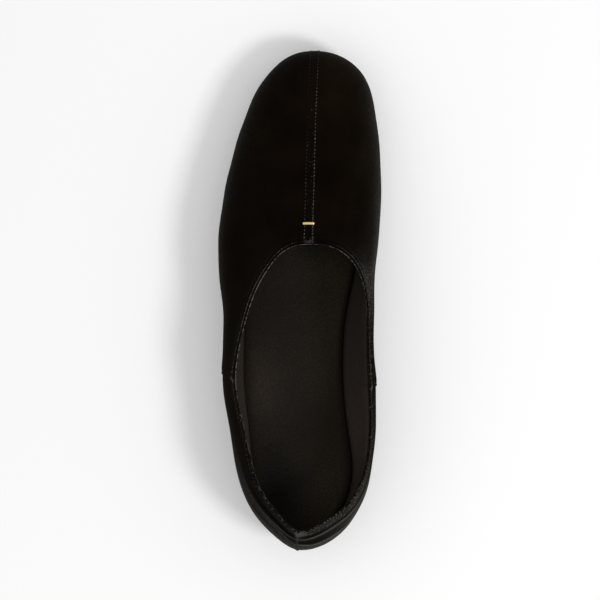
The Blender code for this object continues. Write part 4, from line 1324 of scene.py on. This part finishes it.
class SLIPPER_OT_pile(bpy.types.Operator):
    """Make the loose pile that stands up along the topline and the seams"""

    bl_idname = "slipper.pile"
    bl_label = "Loose pile"

    thickness, rooted, lean = 0.05 * MM, 0.1 * MM, 0.5
    shortest, longest = 0.35 * MM, 0.9 * MM
    spike_points, spike_faces = 4, np.array([(0, 1, 3), (1, 2, 3), (2, 0, 3), (0, 2, 1)])
    # Along the topline, in millimetres: how many, their share of the collar row's depth, how far past it, how
    # far they spread and how bright they are painted as highlights; round the throat they are dark
    topline_rows = ((5200, 0.0, 0.1, 0.3, 0.3), (2600, 1.0, 0.4, 0.5, 0.3))
    throat_bare = 60.0 * MM
    # Small tufts on the inner side
    tufts, tuft_fibres, tuft_light = 200, 10, (0.2, 1.8)
    tuft_spread, tuft_deep, tuft_over = 0.14 * MM, 1.8 * MM, 12.0 * MM
    # Along the toe seam: which row, how many, how bright as painted highlight and how fast that fades; they
    # crowd to the throat
    seam_rows = ((-1.0, 1100, 0.9, 2.0), (1.0, 500, 0.7, 10.0))
    seam_span, seam_spread, crowding = (0.02, 0.95), 0.2 * MM, 1.5
    # Down the back seam, in millimetres: how many, how far aside, their spread, how deep and how bright as
    # painted highlight
    back_rows = ((1100, 2.2, 1.7, 11.0, 2.3), (700, 0.0, 0.3, 36.0, 1.5))
    # Tufts at the tops of the seams: how many, how far aside, their spread, how deep and how bright as
    # painted highlight
    throat_tuft = (220, -0.4 * MM, 1.2 * MM, 0.8 * MM, 1.8)
    side_tuft = (260, 0.0, 0.7 * MM, 1.4 * MM, 1.6)

    def execute(self, context):
        wall = Wall()
        draw = np.random.default_rng(sizes().seed)
        rows = [*self.topline(wall, draw), *self.toe_seam(wall, draw), *self.upright_seams(wall, draw)]
        places, depths, light = (np.concatenate(column) for column in zip(*rows))
        points, faces = self.fibres(wall, places, depths, draw)
        masks = {"light": np.repeat(light, self.spike_points)}
        mesh = mesh_from_arrays("loose_pile", points, faces, masks)
        material = lit_material("loose_pile", colours().pile_tip, roughness=0.8, specular=0.1)
        add_piece("loose_pile", mesh, material)
        return {"FINISHED"}

    def topline(self, wall, draw):
        """Along the very edge, on the hem beside its stitches, and as small tufts on the inner side."""
        for count, by_row, past, spread, light in self.topline_rows:
            places = draw.uniform(0.0, wall.last.girth, count)
            depth = by_row * wall.collar_row(places) / MM + past
            from_toe = wall.last.ring_distance(places, ROW_TOE_TIP)
            clear = 1.0 - band(from_toe, self.throat_bare, self.throat_bare)
            yield places, np.abs(depth + draw.normal(0.0, spread, count)) * MM, light * clear
        tuft = draw.uniform(0.0, wall.last.places[ROW_INSTEP_INNER] + self.tuft_over, self.tufts)
        deep = np.abs(draw.normal(0.0, self.tuft_deep, self.tufts))
        apart = draw.normal(0.0, self.tuft_spread, (2, self.tufts, self.tuft_fibres))
        places, depths = tuft[:, None] + apart[0], np.abs(deep[:, None] + apart[1])
        light = np.repeat(draw.uniform(*self.tuft_light, self.tufts), self.tuft_fibres)
        yield np.mod(places, wall.last.girth).ravel(), depths.ravel(), light

    def toe_seam(self, wall, draw):
        """Along both stitch rows, more on the one nearer the light, and in a tuft at the throat."""
        toe = wall.last.places[ROW_TOE_TIP]
        whole = wall.whole_depth(toe)
        for side, count, light, fade in self.seam_rows:
            share = draw.uniform(*self.seam_span, count) ** self.crowding
            place = toe + wall.seam_middle(share) + side * wall.seam_row(share)
            place = place + draw.normal(0.0, self.seam_spread, count)
            yield place, share * whole, light * (1.0 - share) ** fade
        yield self.seam_tuft(draw, toe, *self.throat_tuft)

    def upright_seams(self, wall, draw):
        """Down the back seam, thick at its top and fading below, and at the tops of the side seams."""
        back = wall.last.places[ROW_HEEL_BACK]
        for count, aside, spread, deepest, light in self.back_rows:
            share = draw.uniform(0.0, 1.0, count) ** self.crowding
            places = back + draw.normal(aside, spread, count) * MM
            yield places, share * deepest * MM, light * (1.0 - share)
        for row, _ in SIDE_SEAMS:
            yield self.seam_tuft(draw, wall.last.places[row], *self.side_tuft)

    def seam_tuft(self, draw, place, count, aside, spread, deep, light):
        """Fibres scattered round the top of a seam."""
        places = place + draw.normal(aside, spread, count)
        return places, np.abs(draw.normal(0.0, deep, count)), np.full(count, light)

    def fibres(self, wall, places, depths, draw):
        """Thin spikes with three sides: a small triangle on the velvet and a tip leaning a random way."""
        root, normal, along, down = wall.on(places, depths)
        count = len(root)
        length = draw.uniform(self.shortest, self.longest, (count, 1))
        tilt = draw.normal(0.0, self.lean, (2, count, 1))
        tip = root + unit(normal + along * tilt[0] + down * tilt[1]) * length
        turn = (np.arange(3) * 2.0 * math.pi / 3.0)[None, :, None]
        round_base = along[:, None] * np.cos(turn) - down[:, None] * np.sin(turn)
        base = (root - normal * self.rooted)[:, None] + self.thickness * round_base
        points = np.concatenate([base, tip[:, None]], axis=1)
        faces = (np.arange(count) * self.spike_points)[:, None, None] + self.spike_faces
        return points.reshape(-1, 3), faces.reshape(-1, 3)


class SLIPPER_OT_bar(bpy.types.Operator):
    """Make the gold bar across the toe seam: a rod with round ends, bowed over the velvet"""

    bl_idname = "slipper.bar"
    bl_label = "Throat bar"

    length, radius = 6.2 * MM, 0.8 * MM
    from_throat = 9.9 * MM
    lift, bow = 1.35 * MM, 0.3 * MM
    dome_rings, straight_rings, sides = 9, 15, 28

    def execute(self, context):
        wall = Wall()
        toe = wall.last.places[ROW_TOE_TIP]
        seat, normal, along, down = (v[0] for v in wall.on(np.array([toe]), np.array([self.from_throat])))
        half = 0.5 * self.length - self.radius
        dome = np.linspace(0.0, 0.5 * math.pi, self.dome_rings)
        straight = np.linspace(-half, half, self.straight_rings)[1:-1]
        ends = half + self.radius * np.cos(dome)
        place = np.concatenate([-ends, straight, ends[::-1]])
        radius = self.radius * np.concatenate([np.sin(dome), np.ones(len(straight)), np.sin(dome[::-1])])
        height = self.lift - self.bow * (2.0 * place / self.length) ** 2
        middle = seat + along * place[:, None] + normal * height[:, None]
        turn = np.linspace(0.0, 2.0 * math.pi, self.sides, endpoint=False)[None, :, None]
        grid = middle[:, None] + radius[:, None, None] * (normal * np.sin(turn) + down * np.cos(turn))
        mesh = mesh_from_grid("throat_bar", grid)
        add_piece("gold_bar", mesh, gold_material(), ("throat_bar",))
        return {"FINISHED"}


class SLIPPER_OT_stage(bpy.types.Operator):
    """Make the floor, the light, the world and the camera"""

    bl_idname = "slipper.stage"
    bl_label = "Stage"

    camera_place = (0.0497, 0.0083, 2.015)
    camera_target = (0.0, 0.0, 0.015)
    frame_height = 0.302
    floor_half = 6.0
    floor_glow, white = 0.15, (1.0, 1.0, 1.0, 1.0)
    key_place, key_size, key_power = (1.15, -0.62, 1.55), 0.45, 16.0
    sky, zenith, sky_heights = 0.32, 0.80, (0.25, 0.75)
    view_end = 20.0

    def execute(self, context):
        self.add_floor()
        self.add_world(context.scene)
        self.add_key()
        self.add_camera(context.scene)
        context.scene.view_settings.view_transform = "Standard"
        return {"FINISHED"}

    def add_floor(self):
        """A wide pale sheet, lit a little from within so that the shadow stays soft."""
        half = self.floor_half
        corners = np.array([(-half, -half, 0.0), (half, -half, 0.0), (half, half, 0.0), (-half, half, 0.0)])
        mesh = mesh_from_arrays("floor", corners, np.array([[0, 1, 2, 3]]))
        material, tree, shader = new_material("pale_floor")
        plug(tree, shader, Base_Color=opaque(colours().floor), Roughness=0.9, Specular_IOR_Level=0.0)
        plug(tree, shader, Emission_Color=self.white, Emission_Strength=self.floor_glow)
        mesh.materials.append(material)
        floor = new_object("floor", mesh)

    def add_world(self, scene):
        """Soft light from all round, strongest from above."""
        world = bpy.data.worlds.new("studio")
        world.use_nodes = True
        tree = world.node_tree
        aim = node(tree, "ShaderNodeTexCoord").outputs["Generated"]
        height = node(tree, "ShaderNodeSeparateXYZ", Vector=aim).outputs["Z"]
        strength = ranged(tree, height, between=self.sky_heights, to=(self.sky, self.zenith))
        plug(tree, tree.nodes["Background"], Color=self.white, Strength=strength)
        scene.world = world

    def add_key(self):
        """One soft lamp from the inner side, a little behind the heel."""
        lamp = bpy.data.lights.new("key", "AREA")
        lamp.shape = "SQUARE"
        lamp.size = self.key_size
        lamp.energy = self.key_power
        light = new_object("key", lamp)
        light.location = self.key_place
        light.rotation_euler = (-Vector(self.key_place)).to_track_quat("-Z", "Y").to_euler()

    def add_camera(self, scene):
        """Overhead, as far off to the inner side as in the picture, with the toe at the top of the frame."""
        place, target = Vector(self.camera_place), Vector(self.camera_target)
        back = (place - target).normalized()
        right = Vector((0.0, 1.0, 0.0)).cross(back).normalized()
        turn = Matrix((right, back.cross(right), back)).transposed()
        data = bpy.data.cameras.new("camera")
        data.lens = data.sensor_width * (place - target).length / self.frame_height
        data.clip_end = self.view_end
        camera = new_object("camera", data)
        camera.location = place
        camera.rotation_euler = turn.to_euler()
        scene.camera = camera


OPERATORS = (
    SLIPPER_OT_velvet,
    SLIPPER_OT_lining,
    SLIPPER_OT_insole,
    SLIPPER_OT_sole,
    SLIPPER_OT_stitching,
    SLIPPER_OT_pile,
    SLIPPER_OT_bar,
    SLIPPER_OT_stage,
)


class SLIPPER_PT_panel(bpy.types.Panel):
    """Sizes, colours and the pieces of the slipper"""

    bl_label = "Velvet slipper flat"
    bl_idname = "SLIPPER_PT_panel"
    bl_space_type = "VIEW_3D"
    bl_region_type = "UI"
    bl_category = "Slipper"

    def draw(self, context):
        """A button for each operator, then a box of sizes and one of colours."""
        for operator in OPERATORS:
            self.layout.operator(operator.bl_idname)
        for group in (sizes(), colours()):
            box = self.layout.box()
            for name in type(group).__annotations__:
                box.prop(group, name)


CLASSES = (SlipperSizes, SlipperColours, *OPERATORS, SLIPPER_PT_panel)


def register():
    """Register the classes and give scenes their sizes and colours."""
    for item in CLASSES:
        bpy.utils.register_class(item)
    bpy.types.Scene.slipper_sizes = PointerProperty(type=SlipperSizes)
    bpy.types.Scene.slipper_colours = PointerProperty(type=SlipperColours)


def unregister():
    """Take away what register gave, in the other order."""
    del bpy.types.Scene.slipper_colours
    del bpy.types.Scene.slipper_sizes
    for item in reversed(CLASSES):
        bpy.utils.unregister_class(item)


def main():
    """Register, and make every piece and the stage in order."""
    register()
    for operator in OPERATORS:
        group, name = operator.bl_idname.split(".")
        getattr(getattr(bpy.ops, group), name)()


if __name__ == "__main__":
    main()
